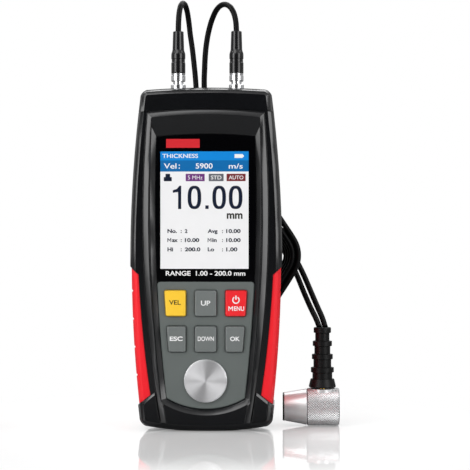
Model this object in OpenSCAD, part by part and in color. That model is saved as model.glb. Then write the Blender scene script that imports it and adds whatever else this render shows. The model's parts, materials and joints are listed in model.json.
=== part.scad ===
// Handheld ultrasonic thickness gauge with a twin-lead probe, in millimetres.
// X runs to the right, Y to the back and Z up. The origin is the middle of the foot.

/* [Housing] */
// Height of the housing from the foot to the crest of the top cap
body_h = 160; // [156:1:168]
// Width of the housing at its widest
body_w = 71; // [68:0.1:76]
// Height at which the housing is widest
widest_z = 79; // [75:1:90]
// Depth from the centre plane to the front face
face_depth = 15; // [14.5:0.5:17]
// Depth from the centre plane to the back
back_depth = 16.5; // [16:0.5:19]
// Radius of the side flanks seen from the front
flank_radius = 620; // [520:10:700]
// Radius of the top edge seen from the front
top_radius = 380; // [300:10:500]
// Radius of the base edge seen from the front
base_radius = 162; // [140:2:200]
// Width of the flat foot under the base
foot_w = 24; // [18:1:30]
// Radius of the two base corners
base_corner = 5; // [4.6:0.1:6]
// Radius of the two top corners
top_corner = 4.6; // [4.4:0.1:6]
// Width of the front bevel seen from the front
bevel_w = 2.8; // [2.2:0.1:3.2]
// Depth of the front bevel along the flank
bevel_depth = 4.5; // [3.5:0.1:5.5]
// Width of the back bevel
back_bevel_w = 4; // [3:0.1:4.3]
// Depth of the back bevel along the flank
back_bevel_depth = 6; // [5:0.5:7]
// Wall of the shells
wall = 2.2; // [1.8:0.1:2.6]
// Height of the top cap at its crest
cap_h = 10.3; // [9.5:0.1:11]
// Distance of the parting plane in front of the centre plane
parting = 3; // [2:0.5:4]
// Open gap along the seams of the housing
seam_gap = 0.2; // [0.1:0.05:0.3]

/* [Rim and pocket] */
// Height of the raised rim above the front face
rim_h = 1.4; // [1:0.1:2]
// Width across the rim at its foot
rim_w = 58.6; // [57.5:0.1:60]
// Radius of the rim's long sides
rim_radius = 560; // [500:10:700]
// Height at which the rim is widest
rim_widest_z = 100; // [90:1:110]
// Distance of the rim's top edge below the crest of the cap
rim_top_drop = 10.5; // [10:0.5:12]
// Radius of the rim's top edge
rim_top_radius = 225; // [180:5:300]
// Width of the pocket that holds the window and the keypad panel
pocket_w = 47.3; // [46.6:0.1:48]
// Radius of the pocket's long sides
pocket_radius = 800; // [700:10:900]
// Height at which the pocket is widest
pocket_widest_z = 107; // [100:1:112]
// Distance of the pocket's top edge below the crest of the cap
pocket_top_drop = 21.7; // [20.5:0.1:22.5]
// Radius of the pocket's top edge
pocket_top_radius = 226; // [180:5:300]
// Height of the lowest point of the pocket
pocket_low_z = 10.3; // [10:0.1:12]
// Radius of the pocket's bottom edge
pocket_low_radius = 36; // [32:1:42]
// Width of the sloping side walls of the pocket
side_scoop = 2.6; // [2:0.1:2.8]
// Width of the sloping top wall of the pocket
top_scoop = 8.9; // [7.5:0.1:9.2]
// Width of the sloping bottom wall of the pocket
low_scoop = 3.2; // [2.5:0.1:4]

/* [Display and keypad] */
// Thickness of the display window
window_t = 1.5; // [1:0.1:2]
// How far the window lies behind the front face
window_sink = 1; // [0.6:0.1:1.4]
// Height of the joint between the window and the keypad panel
split_z = 69.6; // [69:0.1:71]
// Width of the display's active area
lcd_w = 41; // [39:0.5:42]
// Distance of the display's active area below the top of the pocket
lcd_drop = 8.2; // [7.5:0.1:9.5]
// Height of the bottom of the active area
lcd_z = 75.5; // [75:0.5:77]
// Thickness of the keypad panel
panel_t = 2; // [1.8:0.1:2.4]
// Height of the upper edge of the top row of keys
key_top_z = 65.6; // [65.2:0.1:66.2]
// Height of a key
key_h = 12.1; // [11.5:0.1:12.8]
// Distance between the two rows of keys
key_pitch = 16.6; // [16.2:0.1:17]
// Width of the middle keys
key_w = 10.2; // [9:0.1:10.4]
// Distance from the middle to the inner edge of the side keys
key_side_x = 9.1; // [9:0.1:9.6]
// Distance of the side keys from the sides of the pocket
key_margin = 3.3; // [2.8:0.1:3.6]
// Travel of a key
key_travel = 0.8; // [0.5:0.1:0.8]
// Diameter of the test disc
disc_d = 20; // [19:0.5:21]
// Thickness of the test disc
disc_t = 4; // [3.5:0.1:4.5]
// Height of the middle of the test disc
disc_z = 23.5; // [23.4:0.1:24.2]

/* [Grips] */
// Thickness of the soft grips
grip_t = 1.3; // [1.2:0.1:1.8]
// How far the grips lie below the skin of the housing
grip_sink = 0.6; // [0.4:0.1:0.8]
// Width across the inner edges of the grips, level with the widest part of the rim
grip_in_w = 63.8; // [63:0.1:65]
// Height of the upper end of the grips at the flank
grip_top_z = 76.4; // [72:0.5:80]
// Height of the lower end of the grips at the flank
grip_low_z = 12; // [11:0.5:13]
// Depth of the grip's notches
notch_depth = 0.8; // [0.4:0.1:1]
// Distance between the grip's notches
notch_pitch = 13.1; // [12:0.1:14]

/* [Battery] */
// Diameter of an AAA cell
cell_d = 10.5; // [10:0.1:10.8]
// Length of an AAA cell
cell_l = 44.5; // [43.5:0.1:45]
// Thickness of the battery door
door_t = 2.2; // [2:0.1:2.6]
// Running clearance around the door
door_gap = 0.2; // [0.15:0.05:0.3]

/* [Sockets] */
// Distance of each socket from the middle
socket_x = 13.8; // [12:0.1:15]
// Distance of the sockets behind the centre plane
socket_y = 1; // [0:0.5:2]
// Diameter of the socket's ring nut
nut_d = 7.1; // [6.8:0.1:7.6]
// Diameter of the plug's sleeve
plug_d = 6.7; // [6.2:0.1:7]
// Length of the plug's rubber boot
boot_l = 20; // [18:0.5:20]
// Diameter of each lead
lead_d = 2.7; // [2.4:0.1:2.7]

/* [Probe] */
// Diameter of the knurled probe housing
probe_d = 18; // [17.5:0.5:18]
// Length of the knurled probe housing
probe_l = 15.4; // [14.6:0.1:16]
// Diameter of the probe's face
probe_face_d = 13.5; // [12.5:0.5:14]
// Length of the tapered nose
nose_l = 11.6; // [10.6:0.1:13]
// Place of the middle of the probe's boot, to the right of the middle
probe_x = 54.7; // [54:0.1:56]
// Place of the probe behind the centre plane
probe_y = 10; // [9:0.5:11]
// Height of the top of the probe's boot
probe_boot_z = 47; // [46:0.5:47]

/* [Hidden] */

$fn = 48;
drum_facets = 360;
// Larger than the part in any direction
reach = 300;
// Overrun of a cut past the surface that it leaves
spare = 1;
// Clearance between pieces that are set in one another
fit = 0.15;

black_plastic = "#1b1c20";
red_rubber = "#e02030";
grey_panel = "#61676a";
grey_key = "#76797c";
steel = "#c4c6c8";
dark_rubber = "#141416";
board_green = "#1f5a3a";

// Planes of the housing
face_y = -face_depth;
back_y = back_depth;
rim_y = face_y - rim_h;
seam_z = body_h - cap_h;
top_centre_z = body_h - top_radius;
base_centre_z = sqrt(base_radius * base_radius - foot_w * foot_w / 4);
// Steps between the two tiers of the front bevel and of the back bevel
tier_w = 1.3;
tier_depth = 0.8;
back_tier_w = 1.6;
back_tier_depth = 2.2;
// How far the corner arcs fall short of the edges that they join
corner_bite = 0.12;
// The flanks hold the grips, so their wall is thicker
grip_backing = 2.1;
flank_wall = grip_t + grip_sink + grip_backing;
// The front and the top are a little thicker than the other walls
outer_extra = 0.2;
cavity_front_y = face_y + wall + outer_extra;
cavity_back_y = back_y - wall;

// Planes of the pocket
window_y = face_y + window_sink;
seat_y = window_y + window_t;
floor_t = 2;
floor_back_y = seat_y + floor_t;
pocket_top_z = body_h - pocket_top_drop;
rim_top_z = body_h - rim_top_drop;
// The rim's crown slopes outwards from its crest to the top of its short outer wall
rim_slope = 0.4;
rim_crown = 2.6;
crown_drop = 0.8;
rim_flat = 0.4;
bar_sink = 0.4;
// The side walls of the pocket are steep near the rim and slope below
steep_w = 0.4;
steep_end = 0.2;
scoop_knee_w = side_scoop - steep_w;
scoop_knee_y = face_y - steep_end;

// Bottom corner blocks in front of the face
block_h = 1.2;
block_step = 0.2;
block_gap = 0.4;
block_base = 4.8;
block_cut = 2.6;
block_top = [23.7, 18.1];
block_low = [28.9, 14];
block_slope = atan2(block_top.y - block_low.y, block_low.x - block_top.x);

// Keys
panel_y = seat_y - panel_t;
key_proud = 1.5;
key_y = panel_y - key_proud;
key_corner = 0.9;
key_bevel = 0.45;
key_gap = 0.2;
flange_w = 0.7;
flange_t = 1;
flange_y = seat_y + fit;
stem_w = 4;
board_depth = 10;
board_y = face_y + board_depth;
board_t = 1.6;
switch_t = 1.6;
plunger_t = 1;
plunger_d = 2.6;
switch_w = 5;
switch_slack = 0.1;
switch_gap = key_travel + switch_slack;
stem_y = board_y - switch_t - plunger_t - switch_gap;
disc_proud = 1.4;
disc_y = panel_y - disc_proud;
disc_gap = 0.1;

// Board, display carrier and posts
lcd_x = -0.6;
lcd_border = 1.75;
lcd_t = 2.6;
lcd_gap = 0.1;
lcd_y = floor_back_y + lcd_gap;
lcd_h = pocket_top_z - lcd_drop - lcd_z;
frame_wall = 0.6;
window_margin = 0.5;
post_d = 4.4;
post_drop = 3.2;
post_inset = 3.4;
post_low_z = 66;
post_high_z = pocket_top_z - post_drop;
post_x = flank_x(post_high_z) - flank_wall - post_inset;
board_edge = 2.3;
board_half = post_x + board_edge;
board_low_half = 18;
board_low_z = 20;
board_step_z = 62;
board_margin = 4;
board_chamfer = 3;
board_top_z = post_high_z + board_margin;
board_mid_z = (board_step_z + board_top_z) / 2;
board_screw_d = 2;
board_screw_l = 5;
board_screw_head_t = 1.2;

// Screws that hold the shells together
screw_d = 2.5;
screw_head_d = 4.6;
screw_head_t = 2;
screw_sink = 0.6;
boss_d = 6;
screw_low = [25.4, 12.5];
screw_drop = 8;
screw_high = [24, seam_z - screw_drop];
screw_cover = 4;
screw_tip_y = face_y + wall + screw_cover;

// Battery compartment, worked out from the cells
cell_spacing = 1;
cell_pitch = cell_d + cell_spacing;
cell_gap = 0.3;
ledge_t = 1.6;
door_y = back_y - door_t;
ledge_y = door_y - door_gap;
cell_y = ledge_y - ledge_t - fit - cell_d / 2;
tray_y = cell_y - cell_d / 2 - cell_gap;
tray_wall = 1.6;
tray_half = cell_pitch + cell_d / 2 + cell_gap + fit;
contact_t = 0.5;
spring_l = 4.9;
cell_slack = 0.1;
tray_z = 8.5;
tray_l = 2 * contact_t + spring_l + cell_l + cell_slack;
door_lap = 1.2;
door_top_lap = 2.2;
door_half = tray_half + door_lap;
door_top_z = tray_z + tray_l + door_top_lap;
tongue_w = 1.2;
tongue_t = 1;
tongue_drop = 3;
tongue_top_z = door_top_z - tongue_drop;
tongue_low_z = 6;
groove_wall = 1;
tray_outer = door_half + tongue_w + door_gap + groove_wall;

// Grips
grip_slope = 0.85;
grip_low_slope = -0.79;
grip_back_inset = 5;
grip_back_y = back_y - grip_back_inset;
grip_depth = grip_t + grip_sink;
notch_top_z = 65.2;
notch_w = 1.5;

// Sockets, plugs and boots
socket_sink = 0.6;
socket_seat_z = body_h - socket_sink;
socket_seat_gap = 0.7;
socket_d = 4.9;
socket_play = 0.4;
socket_tail = 7;
nut_h = 3.1;
socket_proud = 1.5;
socket_top_z = socket_seat_z + nut_h + socket_proud;
plug_h = 3.6;
boot_gap = 0.2;
boot_z = socket_top_z + plug_h + boot_gap;
boot_top_z = boot_z + boot_l;
cap_top_wall = wall + outer_extra;

// Probe
probe_r = probe_d / 2;
probe_z = probe_r;
boot_offset = 7.4;
knurl_x = probe_x - boot_offset;
nose_x = knurl_x - nose_l;
nose_step = 0.4;
nose_base_d = probe_d - 2 * nose_step;
face_t = 0.8;
nose_wall = 1.2;
probe_wall = 2;
stem_d = 9;
stem_proud = 3;
stem_top_z = probe_d + stem_proud;
collar_wall = 1.6;
collar_l = 3;
barrier_t = 0.8;
crystal_t = 0.6;
delay_l = 7;
inner_d = probe_face_d - 2 * nose_wall - 2 * fit;

// Routes of the leads, from the plugs' boots to the hank and from the hank to the probe's boot
lead_sides = 8;
left_top_route = [
    [-13.8, 1, 183.9], [-13.8, 1, 187.9], [-13.7, 1.4, 193], [-13.4, 3.5, 197.9],
    [-12.8, 7, 201.4], [-11.9, 11, 202.6], [-10.9, 15, 200.9], [-10, 18, 195.6],
    [-9.3, 19.4, 189], [-8.3, 19.7, 182], [-7.5, 19.7, 175], [-6.8, 19.7, 168],
    [-6.2, 19.7, 161], [-4.9, 19.7, 155], [-1.6, 19.7, 149], [2.4, 19.7, 143],
    [6.3, 19.7, 137], [10.3, 19.7, 131], [14.2, 19.7, 125], [18.2, 19.7, 119],
    [22.1, 19.7, 113], [26, 19.7, 107], [30, 19.7, 101], [33.9, 19.7, 95], [38.5, 19.7, 88.1]
];
right_top_route = [
    [13.8, 1, 183.9], [13.8, 1, 187.9], [13.4, 1.4, 193], [12, 3.5, 197.8],
    [9.6, 7, 201], [6.9, 10.5, 201.9], [4.2, 14, 200.5], [1.8, 17, 196.6],
    [-0.1, 19, 191], [-1.3, 19.7, 185], [-2, 19.7, 178.5], [-2.3, 19.7, 172],
    [-2.5, 19.7, 166], [-2.2, 19.7, 160], [-0.9, 19.7, 154.5], [1.8, 19.7, 149],
    [5.7, 19.7, 143], [9.7, 19.7, 137], [13.6, 19.7, 131], [17.6, 19.7, 125],
    [21.5, 19.7, 119], [25.4, 19.7, 113], [29.4, 19.7, 107], [33.3, 19.7, 101],
    [37.3, 19.7, 95], [40.8, 19.7, 89.6]
];
right_tail_route = [
    [37.7, 30.9, 86.6], [40.8, 30.9, 81.3], [43.6, 30.9, 76.5], [46.1, 30.1, 71.4], [48.4, 27.7, 66.1],
    [50.6, 24.1, 60.9], [52.7, 19.5, 56], [54.8, 14.3, 51.2], [56.1, 10, 47]
];
left_tail_route = [
    [35.3, 30.9, 85.2], [38.2, 30.9, 80], [40.9, 30.9, 75.2], [43.2, 30.4, 70.2], [45.3, 28.2, 65],
    [47.5, 24.6, 59.8], [49.7, 19.9, 55], [51.8, 14.6, 50.8], [53.3, 10, 47]
];
hank_top = [28.2, 81.3];
hank_low = [-12.2, 16.7];
hank_r = 16.6;
hank_front_y = 18.2;
hank_back_y = 32.3;
tie_w = 9;
tie_t = 1;

// How far an arc falls behind its crest
function arc_drop(radius, run) = radius - sqrt(radius * radius - run * run);

// Half-width of the housing at a height
function flank_x(z) = body_w / 2 - arc_drop(flank_radius, z - widest_z);

// Half-width across the rim's foot at a height
function rim_x(z) = rim_w / 2 - arc_drop(rim_radius, z - rim_widest_z);

// Outer edge of the raised bottom corners at a height
function block_x(z) = flank_x(z) - bevel_w - block_gap;

// Edge of the housing's section as [inset, y] pairs, for a skin this far inside the outer one
function skin_profile(skin) = [
    [bevel_w + skin, face_y + skin],
    [tier_w + skin, face_y + tier_depth + skin],
    [skin, face_y + bevel_depth + skin],
    [skin, back_y - back_bevel_depth - skin],
    [back_tier_w + skin, back_y - back_tier_depth - skin],
    [back_bevel_w + skin, back_y - skin]
];

// A profile with no slope between two planes
function straight(y0, y1) = [[0, y0], [0, y1]];

// One of the two points where circles about c0 and c1 meet
function circles_meet(c0, r0, c1, r1, side) =
    let (
        gap = c1 - c0,
        dist = norm(gap),
        along = (r0 * r0 - r1 * r1 + dist * dist) / (2 * dist),
        across = sqrt(r0 * r0 - along * along),
        unit = gap / dist
    )
    c0 + along * unit + side * across * [-unit.y, unit.x];

function unit_of(v) = v / norm(v);
function outward(a, b) = let (d = unit_of(b - a)) [d.y, -d.x];
function before(i, n) = (i + n - 1) % n;
function after(i, n) = (i + 1) % n;

// A convex outline, listed anticlockwise, with each edge moved out by d
function grown(points, d) =
    let (n = len(points))
    [
        for (i = [0:n - 1])
            let (
                na = outward(points[before(i, n)], points[i]),
                nb = outward(points[i], points[after(i, n)])
            )
            points[i] + d * (na + nb) / (1 + na * nb)
    ];

// The same kind of outline with its corners rounded
function rounded(points, radius, steps = 5) =
    let (n = len(points))
    [
        for (i = [0:n - 1])
            let (
                na = outward(points[before(i, n)], points[i]),
                nb = outward(points[i], points[after(i, n)]),
                centre = points[i] - radius * (na + nb) / (1 + na * nb),
                a0 = atan2(na.y, na.x),
                turn = (atan2(nb.y, nb.x) - a0 + 360) % 360
            )
            for (k = [0:steps])
                centre + radius * [cos(a0 + turn * k / steps), sin(a0 + turn * k / steps)]
    ];

function box_outline(x0, z0, x1, z1) = [[x0, z0], [x1, z0], [x1, z1], [x0, z1]];

// Outline of the display's active area, grown by an amount
function lcd_outline(grow) =
    grown(box_outline(lcd_x - lcd_w / 2, lcd_z, lcd_x + lcd_w / 2, lcd_z + lcd_h), grow);

// Half-width of the pocket at a height
function pocket_x(z) = pocket_w / 2 - arc_drop(pocket_radius, z - pocket_widest_z);

// Outer edge of the side keys, which follows the side of the pocket
function key_out_x(z) = pocket_x(z) - key_margin;

// Outline of a key in column -1, 0 or 1 and row 0 or 1
function key_outline(column, row) =
    let (
        z1 = key_top_z - row * key_pitch,
        z0 = z1 - key_h
    )
    column == 0 ? box_outline(-key_w / 2, z0, key_w / 2, z1)
    : column > 0 ? [[key_side_x, z0], [key_out_x(z0), z0], [key_out_x(z1), z1], [key_side_x, z1]]
    : [[-key_out_x(z0), z0], [-key_side_x, z0], [-key_side_x, z1], [-key_out_x(z1), z1]];

function middle(points) = [for (axis = [0, 1]) (points[0][axis] + points[1][axis]
    + points[2][axis] + points[3][axis]) / 4];

KEY_PLACES = [for (row = [0, 1]) for (column = [-1, 0, 1]) [column, row]];
SCREW_PLACES = [for (side = [-1, 1]) for (p = [screw_low, screw_high]) [side * p.x, p.y]];
POST_PLACES = [for (side = [-1, 1]) for (z = [post_low_z, post_high_z]) [side * post_x, z]];
CELL_PLACES = [for (i = [-1:1]) i * cell_pitch];
// Flat packages from the board's middle: [x, z] and [width, height, thickness]
CHIPS = [
    [[0, -5.5], [14, 14, 1.4]],
    [[-16, -4.5], [8, 8, 1.2]],
    [[15, -7.5], [6, 6, 3]],
    [[15, 7.5], [10, 8, 1.2]]
];
// Round cans from the board's middle: [x, z] and [diameter, thickness]
CANS = [
    [[-17, 15.5], [9, 4.5]],
    [[15, -22.5], [6, 3.2]]
];

// Solid of revolution about a line along Y through x, z, from [inset, y] pairs
module drum(radius, x, z, profile) {
    first_y = profile[0].y;
    last_y = profile[len(profile) - 1].y;
    translate([x, 0, z])
        rotate([-90, 0, 0])
            rotate_extrude($fn = drum_facets)
                polygon(concat([[0, first_y]], [for (p = profile) [radius - p.x, p.y]], [[0, last_y]]));
}

// What lies between a left and a right arc
module flanks(half_w, radius, z, profile) {
    intersection() {
        drum(radius, half_w - radius, z, profile);
        drum(radius, radius - half_w, z, profile);
    }
}

// Extrudes a front-view outline between two planes
module prism_y(y0, y1) {
    translate([0, y1, 0])
        rotate([90, 0, 0])
            linear_extrude(y1 - y0)
                children();
}

// Cylinder along Y between two planes
module pin_y(d, x, z, y0, y1) {
    translate([x, y0, z])
        rotate([-90, 0, 0])
            cylinder(d = d, h = y1 - y0);
}

module block(low, high) {
    translate(low)
        cube(high - low);
}

// Everything between two planes across Y
module slab(y0, y1) {
    block([-reach, y0, -reach], [reach, y1, reach]);
}

// The housing's outer form with sharp corners, this far inside its skin
module blank(skin) {
    profile = skin_profile(skin);
    intersection() {
        flanks(body_w / 2, flank_radius, widest_z, profile);
        drum(top_radius, 0, top_centre_z, profile);
        drum(base_radius, 0, base_centre_z, profile);
        block([-reach, -reach, skin], [reach, reach, reach]);
    }
}

// What rounds off one corner: up is 1 at the top and -1 at the base
module corner_cut(radius, at, up) {
    profile = skin_profile(0);
    first = profile[0];
    last = profile[len(profile) - 1];
    cut_profile = concat([[first.x, first.y - spare]], profile, [[last.x, last.y + spare]]);
    difference() {
        block(
            [at.x, face_y - spare, min(at.y, at.y + up * reach)],
            [reach, back_y + spare, max(at.y, at.y + up * reach)]
        );
        drum(radius, at.x, at.y, cut_profile);
    }
}

// Middle of a corner arc that runs just inside the flank and another edge
function corner_middle(radius, centre, edge_radius, side) = circles_meet(
    [body_w / 2 - flank_radius, widest_z], flank_radius - radius + corner_bite,
    centre, edge_radius - radius + corner_bite, side
);

// The housing's outer form
module housing() {
    difference() {
        blank(0);
        for (side = [0, 1])
            mirror([side, 0, 0]) {
                corner_cut(base_corner, corner_middle(base_corner, [0, base_centre_z], base_radius, -1), -1);
                corner_cut(top_corner, corner_middle(top_corner, [0, top_centre_z], top_radius, 1), 1);
            }
    }
}

// The hollow inside the housing, with its sides moved in by an inset
module cavity(inset) {
    profile = straight(cavity_front_y + inset, cavity_back_y - inset);
    intersection() {
        flanks(body_w / 2 - flank_wall - inset, flank_radius - flank_wall - inset, widest_z, profile);
        drum(top_radius - cap_top_wall - inset, 0, top_centre_z, profile);
        drum(base_radius - flank_wall - inset, 0, base_centre_z, profile);
    }
}

// Everything below the seam of the top cap, moved down by a drop
module below_seam(drop) {
    drum(top_radius - cap_h - drop, 0, top_centre_z, straight(-reach, reach));
}

// The pocket's outline grown by an amount, with a profile for each of its walls
module pocket(grow, sides, top, low) {
    low_centre_z = pocket_low_z + pocket_low_radius;
    intersection() {
        flanks(pocket_w / 2 + grow, pocket_radius + grow, pocket_widest_z, sides);
        drum(pocket_top_radius + grow, 0, pocket_top_z - pocket_top_radius, top);
        union() {
            drum(pocket_low_radius + grow, 0, low_centre_z, low);
            block([-reach, low[0].y, low_centre_z], [reach, low[len(low) - 1].y, reach]);
        }
    }
}

module straight_pocket(grow, y0, y1) {
    profile = straight(y0, y1);
    pocket(grow, profile, profile, profile);
}

// A pocket wall that widens by an amount from the window's face to the rim
function scoop(width) =
    let (per_mm = width / (window_y - rim_y))
    [[-width - per_mm * spare, rim_y - spare], [0, window_y], [0, seat_y]];

module pocket_cut() {
    steep = (side_scoop - scoop_knee_w) / (scoop_knee_y - rim_y);
    sides = [
        [-side_scoop - steep * spare, rim_y - spare],
        [-scoop_knee_w, scoop_knee_y],
        [0, window_y],
        [0, seat_y]
    ];
    pocket(0, sides, scoop(top_scoop), scoop(low_scoop));
}

// The raised rim, which runs down to the base on both sides
module rim() {
    sides = [
        [rim_crown, rim_y],
        [rim_slope, rim_y + crown_drop],
        [0, face_y],
        [0, face_y + spare]
    ];
    low = [[bevel_w + 2 * rim_slope, rim_y], [bevel_w, face_y], [bevel_w, face_y + spare]];
    intersection() {
        flanks(rim_w / 2, rim_radius, rim_widest_z, sides);
        drum(rim_top_radius, 0, rim_top_z - rim_top_radius, sides);
        drum(base_radius, 0, base_centre_z, low);
    }
}

// The bar below the pocket lies a little lower than the rim
module bar_cut() {
    half = rim_w / 2 - rim_crown - rim_flat;
    intersection() {
        drum(rim_radius, half - rim_radius, rim_widest_z, straight(rim_y - spare, rim_y + bar_sink));
        drum(rim_radius, rim_radius - half, rim_widest_z, straight(rim_y - spare, rim_y + bar_sink));
        block([-reach, -reach, -spare], [reach, reach, pocket_low_z + low_scoop]);
    }
}

// The raised bottom corner to the right of the rim, with a bevel along its upper edge
module corner_block() {
    bevel = (block_h - block_step) * sqrt(2);
    difference() {
        prism_y(face_y - block_h, face_y + wall / 2)
            polygon([
                [rim_x(block_base) + block_gap, block_base],
                [block_x(block_base) - block_cut, block_base],
                [block_x(block_base + block_cut), block_base + block_cut],
                block_low,
                block_top
            ]);
        translate([block_top.x, face_y - block_h, block_top.y])
            rotate([0, block_slope, 0])
                rotate([45, 0, 0])
                    cube([reach / 4, bevel, bevel], center = true);
    }
}

// Where the right grip lies, grown by a clearance
module grip_region(clear) {
    in_x = grip_in_w / 2 - clear;
    flank_top = flank_x(grip_top_z);
    flank_low = flank_x(grip_low_z);
    far = body_w / 2 + 5;
    near = in_x / 2;
    difference() {
        prism_y(face_y - block_h - spare, grip_back_y + clear)
            polygon([
                [near, grip_low_z - clear + (near - flank_low) * grip_low_slope],
                [far, grip_low_z - clear + (far - flank_low) * grip_low_slope],
                [far, grip_top_z + clear + (far - flank_top) * grip_slope],
                [near, grip_top_z + clear + (near - flank_top) * grip_slope]
            ]);
        drum(rim_radius, in_x - rim_radius, rim_widest_z, straight(-reach, reach));
    }
}

// What the right grip takes out of the shells
module grip_recess() {
    difference() {
        grip_region(fit);
        blank(grip_depth);
    }
}

module both_sides() {
    children();
    mirror([1, 0, 0])
        children();
}

module right_grip() {
    difference() {
        intersection() {
            blank(grip_sink);
            grip_region(0);
        }
        blank(grip_depth);
        for (i = [0:3]) {
            z = notch_top_z - i * notch_pitch;
            x = flank_x(z) - grip_sink;
            prism_y(-reach, reach)
                polygon([
                    [x - notch_depth, z],
                    [x + spare, z - notch_w],
                    [x + spare, z + notch_w]
                ]);
        }
    }
}

module grip_left() {
    color(red_rubber)
        mirror([1, 0, 0])
            right_grip();
}

module grip_right() {
    color(red_rubber)
        right_grip();
}

// Front shell, with its rim, pocket, posts for the board and screw bosses
module front_shell() {
    shell_back = -parting - seam_gap / 2;
    color(black_plastic)
        difference() {
            union() {
                difference() {
                    intersection() {
                        housing();
                        below_seam(seam_gap / 2);
                        slab(-reach, shell_back);
                    }
                    cavity(0);
                }
                rim();
                both_sides()
                    corner_block();
                straight_pocket(wall, face_y + spare, floor_back_y);
                for (p = POST_PLACES)
                    pin_y(post_d, p.x, p.y, cavity_front_y - spare, board_y);
                for (p = SCREW_PLACES)
                    pin_y(boss_d, p.x, p.y, cavity_front_y - spare, shell_back);
            }
            pocket_cut();
            bar_cut();
            both_sides()
                grip_recess();
            prism_y(seat_y - spare, floor_back_y + spare)
                polygon(lcd_outline(window_margin));
            for (p = KEY_PLACES)
                prism_y(seat_y - spare, floor_back_y + spare)
                    polygon(grown(key_outline(p.x, p.y), flange_w + key_gap));
            pin_y(disc_d + 2 * disc_gap, 0, disc_z, seat_y - spare, disc_y + disc_t);
            for (p = SCREW_PLACES)
                pin_y(screw_d + fit, p.x, p.y, screw_tip_y - spare, shell_back + spare);
            for (p = POST_PLACES)
                pin_y(board_screw_d + fit, p.x, p.y, board_y - board_screw_l, board_y + spare);
        }
}

// The space that the sliding door and its tongues run in, open at the base
module door_recess() {
    opening = door_half + door_gap;
    groove = opening + tongue_w;
    block([-opening, ledge_y, -spare], [opening, back_y + spare, door_top_z + door_gap]);
    block([-groove, ledge_y, -spare], [groove, door_y + tongue_t + door_gap, tongue_top_z + door_gap]);
}

// Rear shell, with the battery compartment and counterbored screw bosses
module rear_shell() {
    shell_front = -parting + seam_gap / 2;
    color(black_plastic)
        difference() {
            union() {
                difference() {
                    intersection() {
                        housing();
                        below_seam(seam_gap / 2);
                        slab(shell_front, reach);
                    }
                    cavity(0);
                }
                block(
                    [-tray_outer, tray_y - tray_wall, flank_wall],
                    [tray_outer, cavity_back_y + fit, tray_z + tray_l + tray_wall + tongue_w]
                );
                for (p = SCREW_PLACES)
                    pin_y(boss_d, p.x, p.y, shell_front, cavity_back_y + fit);
            }
            block([-tray_half, tray_y, tray_z], [tray_half, back_y, tray_z + tray_l]);
            door_recess();
            both_sides()
                grip_recess();
            for (p = SCREW_PLACES) {
                pin_y(screw_d + 3 * fit, p.x, p.y, shell_front - spare, back_y);
                pin_y(screw_head_d + 4 * fit, p.x, p.y, back_y - screw_head_t - screw_sink, back_y + spare);
            }
        }
}

// Ring that locates the cap inside the shells
module cap_spigot() {
    spigot_t = 1.5;
    spigot_l = 3;
    root = 0.3;
    difference() {
        union() {
            intersection() {
                cavity(fit);
                below_seam(-seam_gap);
            }
            difference() {
                intersection() {
                    cavity(-root);
                    below_seam(-spigot_t);
                }
                below_seam(-seam_gap / 2);
            }
        }
        cavity(spigot_t);
        below_seam(spigot_l);
    }
}

// Top cap, with flat seats and holes for the two sockets
module top_cap() {
    color(black_plastic)
        difference() {
            union() {
                difference() {
                    housing();
                    below_seam(-seam_gap / 2);
                    cavity(0);
                }
                cap_spigot();
            }
            for (side = [-1, 1])
                translate([side * socket_x, socket_y, 0]) {
                    translate([0, 0, seam_z])
                        cylinder(d = socket_d + 2 * fit, h = cap_h + spare);
                    translate([0, 0, socket_seat_z])
                        cylinder(d = nut_d + 2 * socket_seat_gap, h = cap_h);
                }
        }
}

// Window over the display
module display_window() {
    color("#08080a")
        intersection() {
            straight_pocket(-fit, window_y, seat_y);
            block([-reach, -reach, split_z + fit], [reach, reach, reach]);
        }
}

module display_module() {
    color("#dcdde0")
        prism_y(lcd_y, lcd_y + lcd_t)
            polygon(lcd_outline(lcd_border));
}

// Frame that carries the display on the board
module display_frame() {
    outline = lcd_outline(lcd_border + fit);
    ledge = 3 * frame_wall;
    color("#e8e8e4")
        difference() {
            prism_y(lcd_y + lcd_t / 2, board_y)
                polygon(grown(outline, frame_wall));
            prism_y(lcd_y - spare, lcd_y + lcd_t)
                polygon(outline);
            prism_y(lcd_y - spare, board_y + spare)
                polygon(grown(outline, -ledge));
        }
}

// Keypad panel, with openings for the keys and the test disc
module keypad_panel() {
    edge = 0.4;
    corner = 1.6;
    half = pocket_x(split_z) - fit;
    profile = [[edge, panel_y], [0, panel_y + edge], [0, seat_y]];
    color(grey_panel)
        difference() {
            intersection() {
                pocket(-fit, profile, profile, profile);
                prism_y(panel_y - spare, seat_y + spare)
                    polygon(rounded(box_outline(-half, -split_z, half, split_z - fit), corner));
            }
            for (p = KEY_PLACES)
                prism_y(panel_y - spare, seat_y + spare)
                    polygon(rounded(grown(key_outline(p.x, p.y), key_gap), key_corner + key_gap));
            pin_y(disc_d + 2 * disc_gap, 0, disc_z, panel_y - spare, seat_y + spare);
        }
}

// A key: bevelled cap, flange behind the panel and stem towards its switch
module key(column, row, shade) {
    outline = key_outline(column, row);
    at = middle(outline);
    color(shade) {
        hull() {
            prism_y(key_y + key_bevel, flange_y + fit)
                polygon(rounded(outline, key_corner));
            prism_y(key_y, key_y + key_bevel)
                polygon(rounded(grown(outline, -key_bevel), key_corner - key_bevel / 2));
        }
        prism_y(flange_y, flange_y + flange_t)
            polygon(grown(outline, flange_w));
        block(
            [at.x - stem_w / 2, flange_y, at.y - stem_w / 2],
            [at.x + stem_w / 2, stem_y, at.y + stem_w / 2]
        );
    }
}

module key_vel() {
    key(-1, 0, "#fccc33");
}

module key_up() {
    key(0, 0, grey_key);
}

module key_menu() {
    key(1, 0, "#f02030");
}

module key_esc() {
    key(-1, 1, grey_key);
}

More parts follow.
